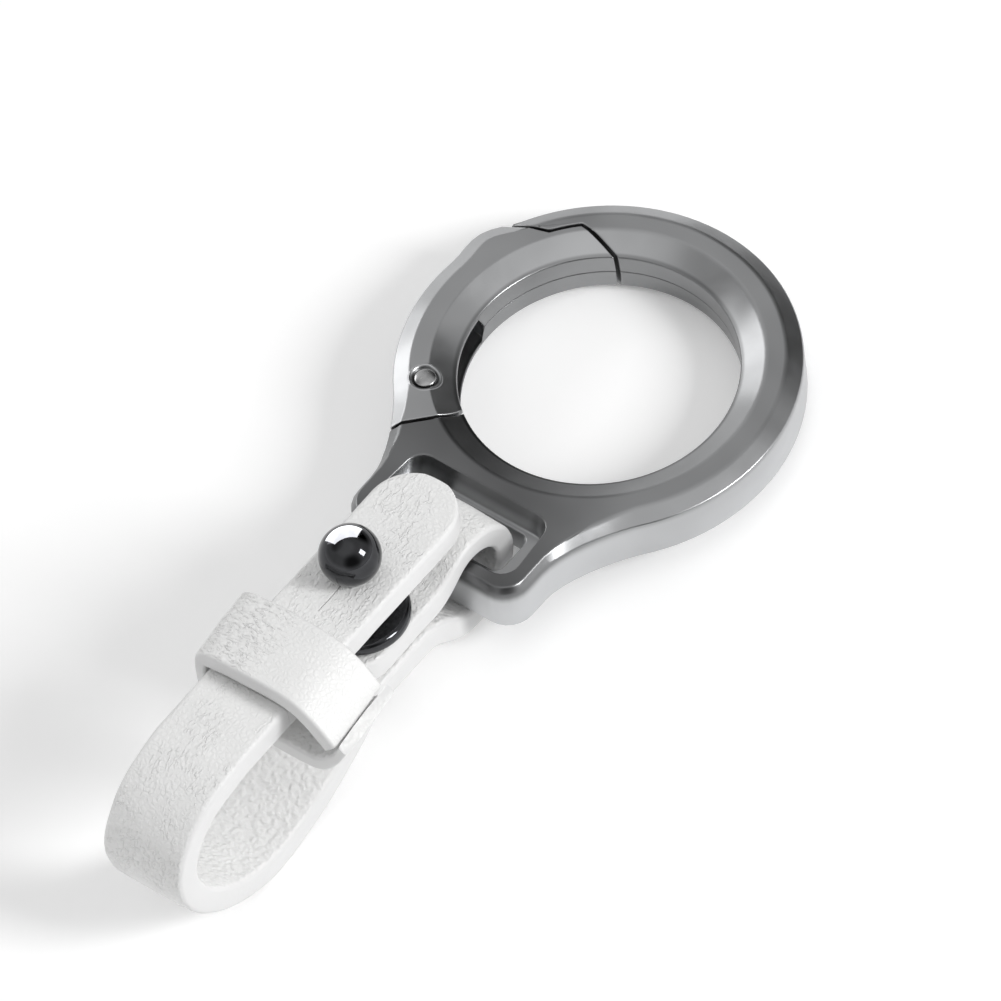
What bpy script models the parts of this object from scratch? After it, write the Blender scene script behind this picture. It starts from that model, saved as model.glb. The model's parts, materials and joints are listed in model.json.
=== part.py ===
"""Carabiner keychain: a metal ring with a sprung gate, and a leather strap that
folds round the ring's bar, holds a ball stud and buttons over it to form a loop."""

import math

import bpy
import bmesh
from mathutils import Vector

# Ring, seen from above with its tail toward -Y
RING_RADIUS = 0.0194
RING_BAND = 0.006
RING_THICKNESS = 0.0058
RING_STEP = math.radians(3.0)
RIM_DROP = 0.0008
RIM_WIDTH = 0.0016
FOOT_CHAMFER = 0.0006
HOLE_RADIUS = RING_RADIUS - RING_BAND
HOLE_SLOPE_WIDTH = 0.0025
HOLE_LIP_DEPTH = 0.0012
HOLE_SEAM_DEPTH = 0.0032
HOLE_SEAM_SWELL = 0.0001
HOLE_FOOT_CHAMFER = 0.0004
CUT_OVERRUN = 0.001
MERGE_DISTANCE = 0.000001
MILLIMETRES = 1000
ROUND_STEPS = 24
CORNER_STEPS = 6

# Strap and the stud's parts that set the tail's and the keeper's sizes
STRAP_HALF_WIDTH = 0.0046
STRAP_THICKNESS = 0.0028
STRAP_EDGE_RADIUS = 0.00055
EDGE_SHARE = 0.6
BAR_WIDTH = 0.0034
WRAP_TOP_THICKNESS = 0.00225
WRAP_FOOT_THICKNESS = 0.0026
WRAP_GAP = 0.00025
WRAP_SLACK = 0.0004

# Tail that carries the strap's bar
TAIL_LENGTH = 0.0076
TAIL_FRONT = RING_RADIUS + TAIL_LENGTH
TAIL_JOIN_ANGLE = math.radians(41.0)
TAIL_SIDE = 0.00425
TAIL_WAIST_INSET = 0.0048
TAIL_CORNER_RADIUS = 0.0028
TAIL_RIM_WIDTH = 0.00055
FLANK_LEAVE_SHARE = 0.2
FLANK_ARRIVE_SHARE = 0.3
FLANK_STEPS = 9

# Bar, its wrap, and the pocket and slot round it
BAR_REACH = TAIL_FRONT - BAR_WIDTH / 2
BAR_DEPTH = RING_THICKNESS / 2
WRAP_BORE = math.hypot(BAR_WIDTH / 2 - TAIL_RIM_WIDTH, BAR_DEPTH) + WRAP_GAP
WRAP_TOP_RADIUS = WRAP_BORE + WRAP_TOP_THICKNESS / 2
WRAP_FOOT_RADIUS = WRAP_TOP_RADIUS + WRAP_SLACK
SLOT_WALL_GAP = 0.0004
SLOT_FAR = BAR_REACH - WRAP_FOOT_RADIUS - WRAP_FOOT_THICKNESS / 2 - SLOT_WALL_GAP
SLOT_NEAR = TAIL_FRONT - BAR_WIDTH
SLOT_SIDE_GAP = 0.0013
SLOT_HALF_WIDTH = STRAP_HALF_WIDTH + SLOT_SIDE_GAP
SLOT_CORNER_RADIUS = 0.001
LIP_WIDTH = 0.0019
POCKET_DEPTH = 0.0024
POCKET_LEDGE = 0.0005
POCKET_FAR_LEAN = 0.0008
POCKET_FAR = SLOT_FAR - POCKET_LEDGE - POCKET_FAR_LEAN
POCKET_NEAR = TAIL_FRONT - LIP_WIDTH
POCKET_FAR_SIDE = 0.0019
POCKET_NEAR_SIDE = 0.0025
POCKET_CORNER_RADIUS = 0.0018
TAIL_HALF_WIDTH = SLOT_HALF_WIDTH + TAIL_SIDE

# Gate, its pin and the splits at its two ends
PIN_INSET = 0.00313
PIN_RADIUS_OUT = RING_RADIUS - PIN_INSET
PIN_ANGLE = math.radians(219.3)
SPLIT_GAP = 0.0003
HINGE_SPLIT_REACH = 0.0049
HINGE_SPLIT_ANGLE = math.radians(315.0)
HINGE_ARC_TURN = math.radians(55.0)
NOSE_REACH_SHARE = 1.17
NOSE_INNER_ANGLE = math.radians(66.0)
LAP_INSET = 0.00275
LAP_RADIUS = RING_RADIUS - LAP_INSET
LAP_END_ANGLE = math.radians(143.0)
HOOK_FACE_ANGLE = math.radians(197.0)
FIELD_LEAD_ANGLE = math.radians(10.0)
FIELD_MARGIN = 0.0068
THUMB_ANGLE = math.radians(161.0)
THUMB_SPAN = math.radians(12.0)
THUMB_HEIGHT = 0.00075
GATE_ROOF = 0.0017
GATE_FLOOR = 0.0008
GATE_WALL = 0.001
CHANNEL_RADIUS = RING_RADIUS - GATE_WALL
CHANNEL_END_ANGLE = math.radians(180.0)
CHANNEL_END_LEAN = math.radians(4.0)
CHANNEL_PAST_ANGLE = math.radians(246.0)

# Hinge pin
PIN_SHANK_RADIUS = 0.00065
PIN_GAP = 0.00025
PIN_HOLE_RADIUS = PIN_SHANK_RADIUS + PIN_GAP
PIN_HEAD_RADIUS = 0.00105
PIN_HEAD_DEPTH = 0.00015
PIN_HEAD_RISE = 0.0001
PIN_NECK_DEPTH = 0.00045
PIN_TIP_CHAMFER = 0.0002
PIN_FOOT_INSET = 0.0001
SINK_GAP = 0.00035
SINK_RADIUS = PIN_HEAD_RADIUS + SINK_GAP

# Gate spring
WIRE_RADIUS = 0.000175
CURL_GAP = 0.00043
COIL_RADIUS = 0.00215
COIL_OFFSET = 0.0005
COIL_PITCH = WIRE_RADIUS * 2 + CURL_GAP
COIL_WHOLE_TURNS = 2
COIL_POINTS_PER_TURN = 10
COIL_LIFT = 0.00024
LEG_LEAN = math.radians(11.3)
GATE_LEG_LENGTH = 0.0065
BODY_LEG_LENGTH = 0.0062
LEG_SLOT_GAP = 0.000275
LEG_SLOT_LENGTH = 0.0026
LEG_SLOT_PAST = 0.0004

# Tongue that the gate turns on
TONGUE_PLATE = 0.00065
TONGUE_REST_GAP = 0.00025
TONGUE_WALL_GAP = 0.0003
TONGUE_INSET = 0.0006
TONGUE_INNER_RADIUS = HOLE_RADIUS + TONGUE_INSET
TONGUE_CAM_START = math.radians(60.0)
TONGUE_CAM_SPAN = math.radians(50.0)
BOSS_GAP = 0.000175
BOSS_RADIUS = COIL_RADIUS - WIRE_RADIUS - COIL_OFFSET - BOSS_GAP

# Stud and screw, their place measured along the strap from the bar
STUD_POSITION = 0.0114
BALL_RADIUS = 0.003
BALL_SINK = 0.0002
BALL_STEPS = 12
NECK_RADIUS = 0.0013
NECK_GAP = 0.0003
FLANGE_RADIUS = 0.00495
FLANGE_FOOT_GAP = 0.0002
FLANGE_THICKNESS = 0.0015
FLANGE_ROUNDING = 0.0006
SCREW_SHANK_RADIUS = 0.00125
SCREW_GAP = 0.00025
BORE_RADIUS = SCREW_SHANK_RADIUS + SCREW_GAP
BARREL_WALL = 0.0006
BARREL_RADIUS = BORE_RADIUS + BARREL_WALL
BARREL_GAP = 0.0003
STRAP_HOLE_RADIUS = BARREL_RADIUS + BARREL_GAP
BARREL_FOOT_INSET = 0.0004
BORE_DEPTH = 0.0006
SCREW_TIP_CHAMFER = 0.0003
SCREW_HEAD_RADIUS = 0.0029
SCREW_HEAD_THICKNESS = 0.0012
SCREW_HEAD_ROUNDING = 0.0005
SCREW_HEAD_GAP = 0.0001
SCREW_TIP_GAP = 0.0005
SCREW_SLOT_WIDTH = 0.0007
SCREW_SLOT_DEPTH = 0.0005
ROUNDING_STEPS = 4
STUD_STEPS = 40
HOLE_STEPS = 32

# Strap runs, as lengths from the bar and levels over the ring's top face
END_LEVEL = -0.0005
END_PAST_STUD = 0.0066
END_TIP = STUD_POSITION + END_PAST_STUD
END_FOLD = STUD_POSITION - FLANGE_RADIUS
STACK_GAP = 0.0009
UNDER_LEVEL = END_LEVEL - STRAP_THICKNESS - STACK_GAP
UNDER_FOLD_MARGIN = 0.0008
UNDER_FOLD = STUD_POSITION - SCREW_HEAD_RADIUS - UNDER_FOLD_MARGIN
FLAT_MARGIN = 0.0002
FLAT_END = STUD_POSITION + SCREW_HEAD_RADIUS + FLAT_MARGIN
FLANGE_FOOT_LEVEL = END_LEVEL + STRAP_THICKNESS / 2 + FLANGE_FOOT_GAP
TAB_RISE = 0.0023
TOP_LEVEL = FLANGE_FOOT_LEVEL + FLANGE_THICKNESS + TAB_RISE + STRAP_THICKNESS / 2
BALL_LEVEL = TOP_LEVEL + STRAP_THICKNESS / 2 - BALL_SINK + BALL_RADIUS
BORE_TOP_LEVEL = FLANGE_FOOT_LEVEL - BORE_DEPTH
WRAP_START_ANGLE = math.radians(60.0)
WRAP_END_ANGLE = math.radians(294.0)
WRAP_STEPS = 22
FOLD_STEPS = 6
FOLD_LEAD_SHARE = 0.4
TIP_STEPS = 8
TIP_FIRST_ANGLE = math.radians(12.0)

# Keeper across the strap: steps out from the strap's edge and up or down from its two runs
KEEPER_STAND_OFF = 0.0014
KEEPER_START = END_TIP + KEEPER_STAND_OFF
KEEPER_WIDTH = 0.0084
KEEPER_SKEW_SHARE = 0.09
KEEPER_THICKNESS = 0.00195
KEEPER_FOLD_THICKNESS = 0.00125
KEEPER_TIP_THICKNESS = 0.00105
KEEPER_EDGE_RADIUS = 0.00035
KEEPER_GAP = 0.000225
KEEPER_ARCH = 0.00045
KEEPER_HEIGHT = 0.0071
KEEPER_TOP_LEVEL = TOP_LEVEL + (STRAP_THICKNESS + KEEPER_THICKNESS) / 2 + KEEPER_GAP
KEEPER_FOOT_LEVEL = KEEPER_TOP_LEVEL - KEEPER_HEIGHT
KEEPER_SKEW_STEP = KEEPER_SKEW_SHARE * KEEPER_WIDTH / 2
KEEPER_FOLD_X = STRAP_HALF_WIDTH + KEEPER_GAP + KEEPER_SKEW_STEP + KEEPER_FOLD_THICKNESS / 2
KEEPER_FOLD_CORNER = 0.0012
KEEPER_SLOPE_STEP = 0.0024
KEEPER_SLOPE_FALL = 0.001
KEEPER_CUT_STEP = 0.0046
KEEPER_CUT_FALL = 0.0032
KEEPER_BEND_STEP = 0.0008
KEEPER_RISE_STEP = 0.003
KEEPER_RISE_LIFT = 0.0004
KEEPER_CURL_STEP = 0.005
KEEPER_CURL_LIFT = 0.0024
KEEPER_TIP_STEP = 0.0062
KEEPER_TIP_LIFT = 0.0047
KEEPER_SUBDIVISIONS = 4

# Strap loop: shares of the way out from its flat part, and of the way down or up
LOOP_REACH = 0.0436
LOOP_DEPTH = 0.0114
LOOP_UNDER_SHARES = (
    (0.069, 0.139), (0.151, 0.382), (0.247, 0.597), (0.368, 0.806), (0.491, 0.944),
    (0.605, 1.000), (0.739, 0.882), (0.859, 0.565), (0.952, 0.176), (1.000, -0.314),
)
LOOP_OVER_SHARES = (
    (0.984, 0.080), (0.906, 0.420), (0.740, 0.735), (0.504, 0.925), (0.228, 0.990),
)
LOOP_SUBDIVISIONS = 3
TOP_RUN_PAST_KEEPER = 0.0031
TOP_RUN_START = KEEPER_START + KEEPER_WIDTH + TOP_RUN_PAST_KEEPER
TOP_RUN_STEPS = 8
TAB_BEND_LENGTH = 0.0011
TAB_SPLIT = KEEPER_START - TAB_BEND_LENGTH
TAB_TIP_PAST_STUD = 0.0133
TAB_TIP = TAB_TIP_PAST_STUD - STUD_POSITION
TAB_RUN_STEPS = 8
TAB_HOLE_RADIUS = NECK_RADIUS + NECK_GAP
TAB_SLIT_LENGTH = 0.0037
TAB_SLIT_WIDTH = 0.00035
TAB_GAP = 0.0003

METAL_COLOUR = (0.4, 0.405, 0.41, 1.0)
PIN_COLOUR = (0.45, 0.45, 0.46, 1.0)
SPRING_COLOUR = (0.55, 0.55, 0.56, 1.0)
LEATHER_COLOUR = (0.83, 0.83, 0.82, 1.0)
STUD_COLOUR = (0.06, 0.06, 0.065, 1.0)

PIN_CENTRE = (PIN_RADIUS_OUT * math.cos(PIN_ANGLE), PIN_RADIUS_OUT * math.sin(PIN_ANGLE))


def clear_scene():
    """Takes every object out of the scene."""
    for item in list(bpy.data.objects):
        bpy.data.objects.remove(item, do_unlink=True)


def make_material(name, colour, metallic, roughness):
    """A plain surface with its colour, metal share and roughness."""
    material = bpy.data.materials.new(name)
    material.use_nodes = True
    shader = material.node_tree.nodes["Principled BSDF"]
    shader.inputs["Base Color"].default_value = colour
    shader.inputs["Metallic"].default_value = metallic
    shader.inputs["Roughness"].default_value = roughness
    material.diffuse_color = colour
    return material


def polar(radius, angle, centre=(0.0, 0.0)):
    """A point seen from above, at a distance and angle from a centre."""
    return (centre[0] + radius * math.cos(angle), centre[1] + radius * math.sin(angle))


def shares(steps):
    """Evenly spaced shares from 0 to 1, both ends included."""
    return [index / steps for index in range(steps + 1)]


def arc(radius, start, end, steps, centre=(0.0, 0.0)):
    """Points along an arc, both ends included."""
    return [polar(radius, start + (end - start) * share, centre) for share in shares(steps)]


def bezier(first, lead, trail, last, steps):
    """Points along a cubic curve, both ends included."""
    points = []
    for t in shares(steps):
        s = 1 - t
        weights = (s * s * s, 3 * s * s * t, 3 * s * t * t, t * t * t)
        corners = (first, lead, trail, last)
        points.append(tuple(
            sum(weight * corner[axis] for weight, corner in zip(weights, corners))
            for axis in (0, 1)
        ))
    return points


def through(knots, subdivisions):
    """A smooth curve that passes through every knot, both end knots included."""
    vectors = [Vector(knot) for knot in knots]
    first = vectors[0] * 2 - vectors[1]
    last = vectors[-1] * 2 - vectors[-2]
    padded = [first] + vectors + [last]
    points = []
    for index in range(1, len(padded) - 2):
        before, start, end, after = padded[index - 1:index + 3]
        for step in range(subdivisions):
            t = step / subdivisions
            lead = (end - before) / 2
            trail = (after - start) / 2
            rise = start + lead * t
            curve = ((end - start) * 3 - lead * 2 - trail) * t ** 2
            close = ((start - end) * 2 + lead + trail) * t ** 3
            points.append(tuple(rise + curve + close))
    points.append(tuple(vectors[-1]))
    return points


def directions(points):
    """Unit direction of travel at each point of an open path."""
    vectors = [Vector(point) for point in points]
    ahead = vectors[1:] + vectors[-1:]
    behind = vectors[:1] + vectors[:-1]
    return [(after - before).normalized() for before, after in zip(behind, ahead)]


def add_object(name, mesh_source, material, root, location=(0.0, 0.0, 0.0)):
    """Puts a finished bmesh into a named object under the root."""
    bmesh.ops.recalc_face_normals(mesh_source, faces=mesh_source.faces[:])
    mesh = bpy.data.meshes.new(name)
    mesh_source.to_mesh(mesh)
    mesh_source.free()
    if material:
        mesh.materials.append(material)
    item = bpy.data.objects.new(name, mesh)
    bpy.context.scene.collection.objects.link(item)
    item.parent = root
    item.location = location
    return item


def smooth(item, angle=math.radians(35.0)):
    """Shades an object's round faces smooth and keeps its edges crisp."""
    item.data.shade_smooth()
    item.data.set_sharp_from_angle(angle=angle)


def stacked(loops):
    """A closed solid skinned over a stack of matching loops."""
    source = bmesh.new()
    rows = [[source.verts.new(point) for point in loop] for loop in loops]
    for lower, upper in zip(rows, rows[1:]):
        for index in range(len(lower)):
            after = (index + 1) % len(lower)
            source.faces.new((lower[index], lower[after], upper[after], upper[index]))
    source.faces.new(rows[0][::-1])
    source.faces.new(rows[-1])
    return source


def prism(outline, low, high):
    """A flat outline raised between two heights."""
    return stacked([[(x, y, height) for x, y in outline] for height in (low, high)])


def turned(profile, steps):
    """A closed solid turned about its own upright axis, from radius and height pairs."""
    source = bmesh.new()
    chain = [source.verts.new((radius, 0.0, height)) for radius, height in profile]
    edges = [source.edges.new(pair) for pair in zip(chain, chain[1:])]
    bmesh.ops.spin(
        source, geom=chain + edges, axis=(0, 0, 1), cent=(0, 0, 0),
        angle=math.tau, steps=steps, use_merge=True,
    )
    bmesh.ops.remove_doubles(source, verts=source.verts[:], dist=MERGE_DISTANCE)
    return source


def cut(item, cutter, operation="DIFFERENCE"):
    """Joins or cuts an object with another that is kept as a guide."""
    cutter.hide_render = True
    cutter.hide_viewport = False
    cutter.display_type = 'WIRE'
    modifier = item.modifiers.new(cutter.name, 'BOOLEAN')
    modifier.operation = operation
    modifier.solver = 'EXACT'
    modifier.object = cutter


def rounded_polygon(corners, radius, steps):
    """A convex outline with every corner rounded."""
    points = []
    count = len(corners)
    for index in range(count):
        corner = Vector(corners[index])
        back = (Vector(corners[index - 1]) - corner).normalized()
        ahead = (Vector(corners[(index + 1) % count]) - corner).normalized()
        half = back.angle(ahead) / 2
        centre = corner + (back + ahead).normalized() * (radius / math.sin(half))
        first = corner + back * (radius / math.tan(half)) - centre
        last = corner + ahead * (radius / math.tan(half)) - centre
        turn = first.angle(last)
        for share in shares(steps):
            lead = math.sin((1 - share) * turn) / math.sin(turn)
            trail = math.sin(share * turn) / math.sin(turn)
            points.append(tuple(centre + first * lead + last * trail))
    return points


def thumb_rise(angle):
    """How far the gate's thumb ridge stands out of the ring's outline."""
    offset = abs(angle - THUMB_ANGLE)
    if offset > THUMB_SPAN:
        return 0.0
    return THUMB_HEIGHT * math.cos(offset / THUMB_SPAN * math.pi / 2) ** 2


def half_tail():
    """The tail's right side, from the ring down to the middle of its front edge."""
    start = polar(RING_RADIUS, -TAIL_JOIN_ANGLE)
    waist = (TAIL_HALF_WIDTH, TAIL_WAIST_INSET - TAIL_FRONT)
    run = (Vector(start) - Vector(waist)).length
    along = (-math.sin(TAIL_JOIN_ANGLE), -math.cos(TAIL_JOIN_ANGLE))
    lead = tuple(start[axis] + along[axis] * run * FLANK_LEAVE_SHARE for axis in (0, 1))
    trail = (waist[0], waist[1] + run * FLANK_ARRIVE_SHARE)
    flank = bezier(start, lead, trail, waist, FLANK_STEPS)
    centre = (TAIL_HALF_WIDTH - TAIL_CORNER_RADIUS, TAIL_CORNER_RADIUS - TAIL_FRONT)
    corner = arc(TAIL_CORNER_RADIUS, 0.0, -math.pi / 2, CORNER_STEPS, centre)
    return flank, corner


def ring_outline(with_thumb):
    """The ring and tail seen from above: points, each with the width of its top chamfer."""
    flank, corner = half_tail()
    sweep = math.pi + TAIL_JOIN_ANGLE * 2
    steps = round(sweep / RING_STEP)
    points = []
    for share in shares(steps)[1:-1]:
        angle = -TAIL_JOIN_ANGLE + sweep * share
        rise = thumb_rise(angle) if with_thumb else 0.0
        points.append((*polar(RING_RADIUS + rise, angle), RIM_WIDTH))
    narrowing = [RIM_WIDTH + (TAIL_RIM_WIDTH - RIM_WIDTH) * share for share in shares(FLANK_STEPS)]
    right = [(x, y, width) for (x, y), width in zip(flank, narrowing)]
    right += [(x, y, TAIL_RIM_WIDTH) for x, y in corner]
    left = [(-x, y, width) for x, y, width in right]
    return points + left + right[::-1]


def inset_loop(outline, widths, height):
    """An outline moved inward by a width at each point, set at a height."""
    count = len(outline)
    loop = []
    for index in range(count):
        before = Vector(outline[index - 1][:2])
        after = Vector(outline[(index + 1) % count][:2])
        along = (after - before).normalized()
        x = outline[index][0] - along.y * widths[index]
        y = outline[index][1] + along.x * widths[index]
        loop.append((x, y, height))
    return loop


def ring_blank(with_thumb):
    """The ring and tail as one plate, with a wide top chamfer and a small one below."""
    outline = ring_outline(with_thumb)
    rim = [point[2] for point in outline]
    full = [0.0 for point in outline]
    foot = [FOOT_CHAMFER for point in outline]
    loops = [
        inset_loop(outline, foot, -RING_THICKNESS),
        inset_loop(outline, full, FOOT_CHAMFER - RING_THICKNESS),
        inset_loop(outline, full, -RIM_DROP),
        inset_loop(outline, rim, 0.0),
    ]
    return stacked(loops)


def hole_core():
    """The space inside the ring, with its sloped top lip and low seam."""
    slope = HOLE_SLOPE_WIDTH / HOLE_LIP_DEPTH
    foot_radius = HOLE_RADIUS + HOLE_FOOT_CHAMFER
    profile = (
        (foot_radius + CUT_OVERRUN, -RING_THICKNESS - CUT_OVERRUN),
        (HOLE_RADIUS, HOLE_FOOT_CHAMFER - RING_THICKNESS),
        (HOLE_RADIUS - HOLE_SEAM_SWELL, -HOLE_SEAM_DEPTH),
        (HOLE_RADIUS, -HOLE_LIP_DEPTH),
        (HOLE_RADIUS + HOLE_SLOPE_WIDTH + slope * CUT_OVERRUN, CUT_OVERRUN),
    )
    steps = round(math.tau / RING_STEP)
    loops = []
    for radius, height in profile:
        loops.append([(x, y, height) for x, y in arc(radius, 0.0, math.tau, steps)[:-1]])
    return stacked(loops)


def gate_region(growth):
    """Outline, from above, of the part of the ring that swings, grown by a length."""
    reach = HINGE_SPLIT_REACH + growth
    foot = polar(reach, HINGE_SPLIT_ANGLE, PIN_CENTRE)
    outer = polar(RING_BAND, HINGE_SPLIT_ANGLE - math.pi / 2, foot)
    hinge_end = HINGE_SPLIT_ANGLE + HINGE_ARC_TURN
    hinge = arc(reach, HINGE_SPLIT_ANGLE, hinge_end, CORNER_STEPS * 2, PIN_CENTRE)
    nose_reach = RING_RADIUS * NOSE_REACH_SHARE + growth
    lap = LAP_RADIUS + growth
    cosine = (PIN_RADIUS_OUT ** 2 + nose_reach ** 2 - lap ** 2) / (2 * PIN_RADIUS_OUT * nose_reach)
    nose_end = PIN_ANGLE - math.pi + math.acos(cosine)
    nose = arc(nose_reach, NOSE_INNER_ANGLE, nose_end, CORNER_STEPS, PIN_CENTRE)
    lap_start = math.atan2(nose[-1][1], nose[-1][0])
    knee = hook_knee(growth)
    lap_end = math.atan2(knee[1], knee[0])
    lap_arc = arc(lap, lap_start, lap_end, CORNER_STEPS)
    tip = polar(RING_BAND, HOOK_FACE_ANGLE, knee)
    field_radius = RING_RADIUS + FIELD_MARGIN + THUMB_HEIGHT
    field = arc(field_radius, HOOK_FACE_ANGLE - FIELD_LEAD_ANGLE, PIN_ANGLE, CORNER_STEPS)
    return [outer] + hinge + nose + lap_arc[1:] + [tip] + field


def hook_knee(growth):
    """Where the hook's end face meets the lap between gate and hook."""
    knee = Vector(polar(LAP_RADIUS, LAP_END_ANGLE))
    along = Vector(polar(1, HOOK_FACE_ANGLE))
    shifted = knee + Vector(polar(1, HOOK_FACE_ANGLE - math.pi / 2)) * growth
    lap = LAP_RADIUS + growth
    level = shifted.dot(along)
    offset = math.sqrt(level ** 2 - shifted.length_squared + lap ** 2)
    return tuple(shifted + along * (offset - level))


def gate_channel():
    """The space inside the gate, open to the ring's hole and past the hinge end."""
    steps = CORNER_STEPS * 4
    outer = arc(CHANNEL_RADIUS, CHANNEL_END_ANGLE, CHANNEL_PAST_ANGLE, steps)
    lean = CHANNEL_END_ANGLE + CHANNEL_END_LEAN
    inner = arc(HOLE_RADIUS - CUT_OVERRUN, CHANNEL_PAST_ANGLE, lean, steps)
    return prism(outer + inner, GATE_FLOOR - RING_THICKNESS, -GATE_ROOF)


def tongue_outline():
    """The tongue's plate from above: a ring sector with a cam-shaped end round the pin."""
    outer_radius = CHANNEL_RADIUS - TONGUE_WALL_GAP
    small = outer_radius - PIN_RADIUS_OUT
    large = PIN_RADIUS_OUT - TONGUE_INNER_RADIUS
    outer = arc(outer_radius, CHANNEL_PAST_ANGLE, PIN_ANGLE, CORNER_STEPS * 2)
    inner = arc(TONGUE_INNER_RADIUS, PIN_ANGLE, CHANNEL_PAST_ANGLE, CORNER_STEPS * 2)
    end = []
    for share in shares(CORNER_STEPS * 3)[1:-1]:
        turn = math.pi * share
        growth = min(max((turn - TONGUE_CAM_START) / TONGUE_CAM_SPAN, 0.0), 1.0)
        eased = growth * growth * (3 - 2 * growth)
        end.append(polar(small + (large - small) * eased, PIN_ANGLE - turn, PIN_CENTRE))
    return outer + end + inner


def tongue_level():
    """Height of the tongue plate's lower face."""
    return GATE_FLOOR - RING_THICKNESS + TONGUE_REST_GAP


def add_pin_bore(item, name, root):
    """Cuts the pin's hole through a piece."""
    low = -RING_THICKNESS - CUT_OVERRUN
    outline = arc(PIN_HOLE_RADIUS, 0.0, math.tau, ROUND_STEPS, PIN_CENTRE)[:-1]
    cut(item, add_object(name, prism(outline, low, CUT_OVERRUN), None, root))


def make_tongue(item, root):
    """Adds the tongue plate and its upright boss to the ring's body."""
    low = tongue_level()
    plate = prism(tongue_outline(), low, low + TONGUE_PLATE)
    cut(item, add_object("tongue_plate_form", plate, None, root), "UNION")
    outline = arc(BOSS_RADIUS, 0.0, math.tau, ROUND_STEPS, PIN_CENTRE)[:-1]
    boss = prism(outline, low + TONGUE_PLATE / 2, -GATE_ROOF - TONGUE_REST_GAP)
    cut(item, add_object("tongue_boss_form", boss, None, root), "UNION")


def make_ring_body(material, root):
    """The cast ring with its hook nose, tongue, and tail with pocket, slot and bar."""
    body = add_object("ring_body", ring_blank(False), material, root)
    cut(body, add_object("body_hole_form", hole_core(), None, root))
    low = -RING_THICKNESS - CUT_OVERRUN
    region = prism(gate_region(SPLIT_GAP / 2), low, CUT_OVERRUN)
    cut(body, add_object("gate_clearance_form", region, None, root))
    cut(body, add_object("pocket_form", pocket_core(), None, root))
    cut(body, add_object("slot_form", slot_core(), None, root))
    make_tongue(body, root)
    add_pin_bore(body, "tongue_bore_form", root)
    cut(body, add_object("leg_slot_form", leg_slot_core(), None, root))
    smooth(body)
    return body


def pocket_core():
    """The tail's shallow pocket, its far wall leaning in toward the slot."""
    lean = POCKET_FAR_LEAN / POCKET_DEPTH
    far_half = SLOT_HALF_WIDTH + POCKET_FAR_SIDE
    near_half = SLOT_HALF_WIDTH + POCKET_NEAR_SIDE
    loops = []
    for height in (-POCKET_DEPTH, CUT_OVERRUN):
        far = height * lean - POCKET_FAR
        corners = (
            (far_half, far),
            (-far_half, far),
            (-near_half, -POCKET_NEAR),
            (near_half, -POCKET_NEAR),
        )
        outline = rounded_polygon(corners, POCKET_CORNER_RADIUS, CORNER_STEPS)
        loops.append([(x, y, height) for x, y in outline])
    return stacked(loops)


def slot_core():
    """The slot through the tail that the strap passes, flared at its foot."""
    loops = []
    flare_top = FOOT_CHAMFER - RING_THICKNESS
    below = -RING_THICKNESS - CUT_OVERRUN
    for height, growth in ((below, FOOT_CHAMFER + CUT_OVERRUN), (flare_top, 0.0), (-RIM_DROP, 0.0)):
        half = SLOT_HALF_WIDTH + growth
        corners = (
            (half, -SLOT_FAR + growth),
            (-half, -SLOT_FAR + growth),
            (-half, -SLOT_NEAR - growth),
            (half, -SLOT_NEAR - growth),
        )
        outline = rounded_polygon(corners, SLOT_CORNER_RADIUS + growth / 2, CORNER_STEPS)
        loops.append([(x, y, height) for x, y in outline])
    return stacked(loops)


def make_gate(material, root):
    """The swinging quarter of the ring, hollow round its hinge, with a thumb ridge."""
    gate = add_object("gate", ring_blank(True), material, root)
    move_origin(gate, Vector((*PIN_CENTRE, 0.0)))
    cut(gate, add_object("gate_hole_form", hole_core(), None, root))
    low = -RING_THICKNESS - CUT_OVERRUN
    region = prism(gate_region(-SPLIT_GAP / 2), low, CUT_OVERRUN)
    cut(gate, add_object("gate_region_form", region, None, root), "INTERSECT")
    cut(gate, add_object("gate_channel_form", gate_channel(), None, root))
    add_pin_bore(gate, "gate_bore_form", root)
    sink = []
    depth = PIN_NECK_DEPTH
    slope = (SINK_RADIUS - PIN_HOLE_RADIUS) / depth
    for height in (-depth * 2, CUT_OVERRUN):
        radius = SINK_RADIUS + height * slope
        ring = arc(radius, 0.0, math.tau, ROUND_STEPS, PIN_CENTRE)[:-1]
        sink.append([(x, y, height) for x, y in ring])
    cut(gate, add_object("pin_sink_form", stacked(sink), None, root))
    smooth(gate)
    return gate


def make_hinge_pin(material, root):
    """The rivet the gate turns on, with a low domed head in its sink."""
    foot = PIN_FOOT_INSET - RING_THICKNESS
    profile = [
        (0.0, foot),
        (PIN_SHANK_RADIUS - PIN_TIP_CHAMFER, foot),
        (PIN_SHANK_RADIUS, foot + PIN_TIP_CHAMFER),
        (PIN_SHANK_RADIUS, -PIN_NECK_DEPTH),
        (PIN_HEAD_RADIUS, -PIN_HEAD_DEPTH),
    ]
    rise = PIN_HEAD_DEPTH + PIN_HEAD_RISE
    for share in shares(ROUNDING_STEPS)[1:]:
        angle = share * math.pi / 2
        radius = PIN_HEAD_RADIUS * math.cos(angle)
        profile.append((radius, -PIN_HEAD_DEPTH + rise * math.sin(angle)))
    pin = add_object("hinge_pin", turned(profile, ROUND_STEPS), material, root, (*PIN_CENTRE, 0.0))
    smooth(pin)
    return pin


def coil_centre():
    """Centre of the coil, pushed off the pin toward the ring's hole."""
    return polar(PIN_RADIUS_OUT - COIL_OFFSET, PIN_ANGLE)


def coil_foot():
    """Height of the wire's middle at the coil's lower end."""
    return tongue_level() + TONGUE_PLATE + COIL_LIFT + WIRE_RADIUS


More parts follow.
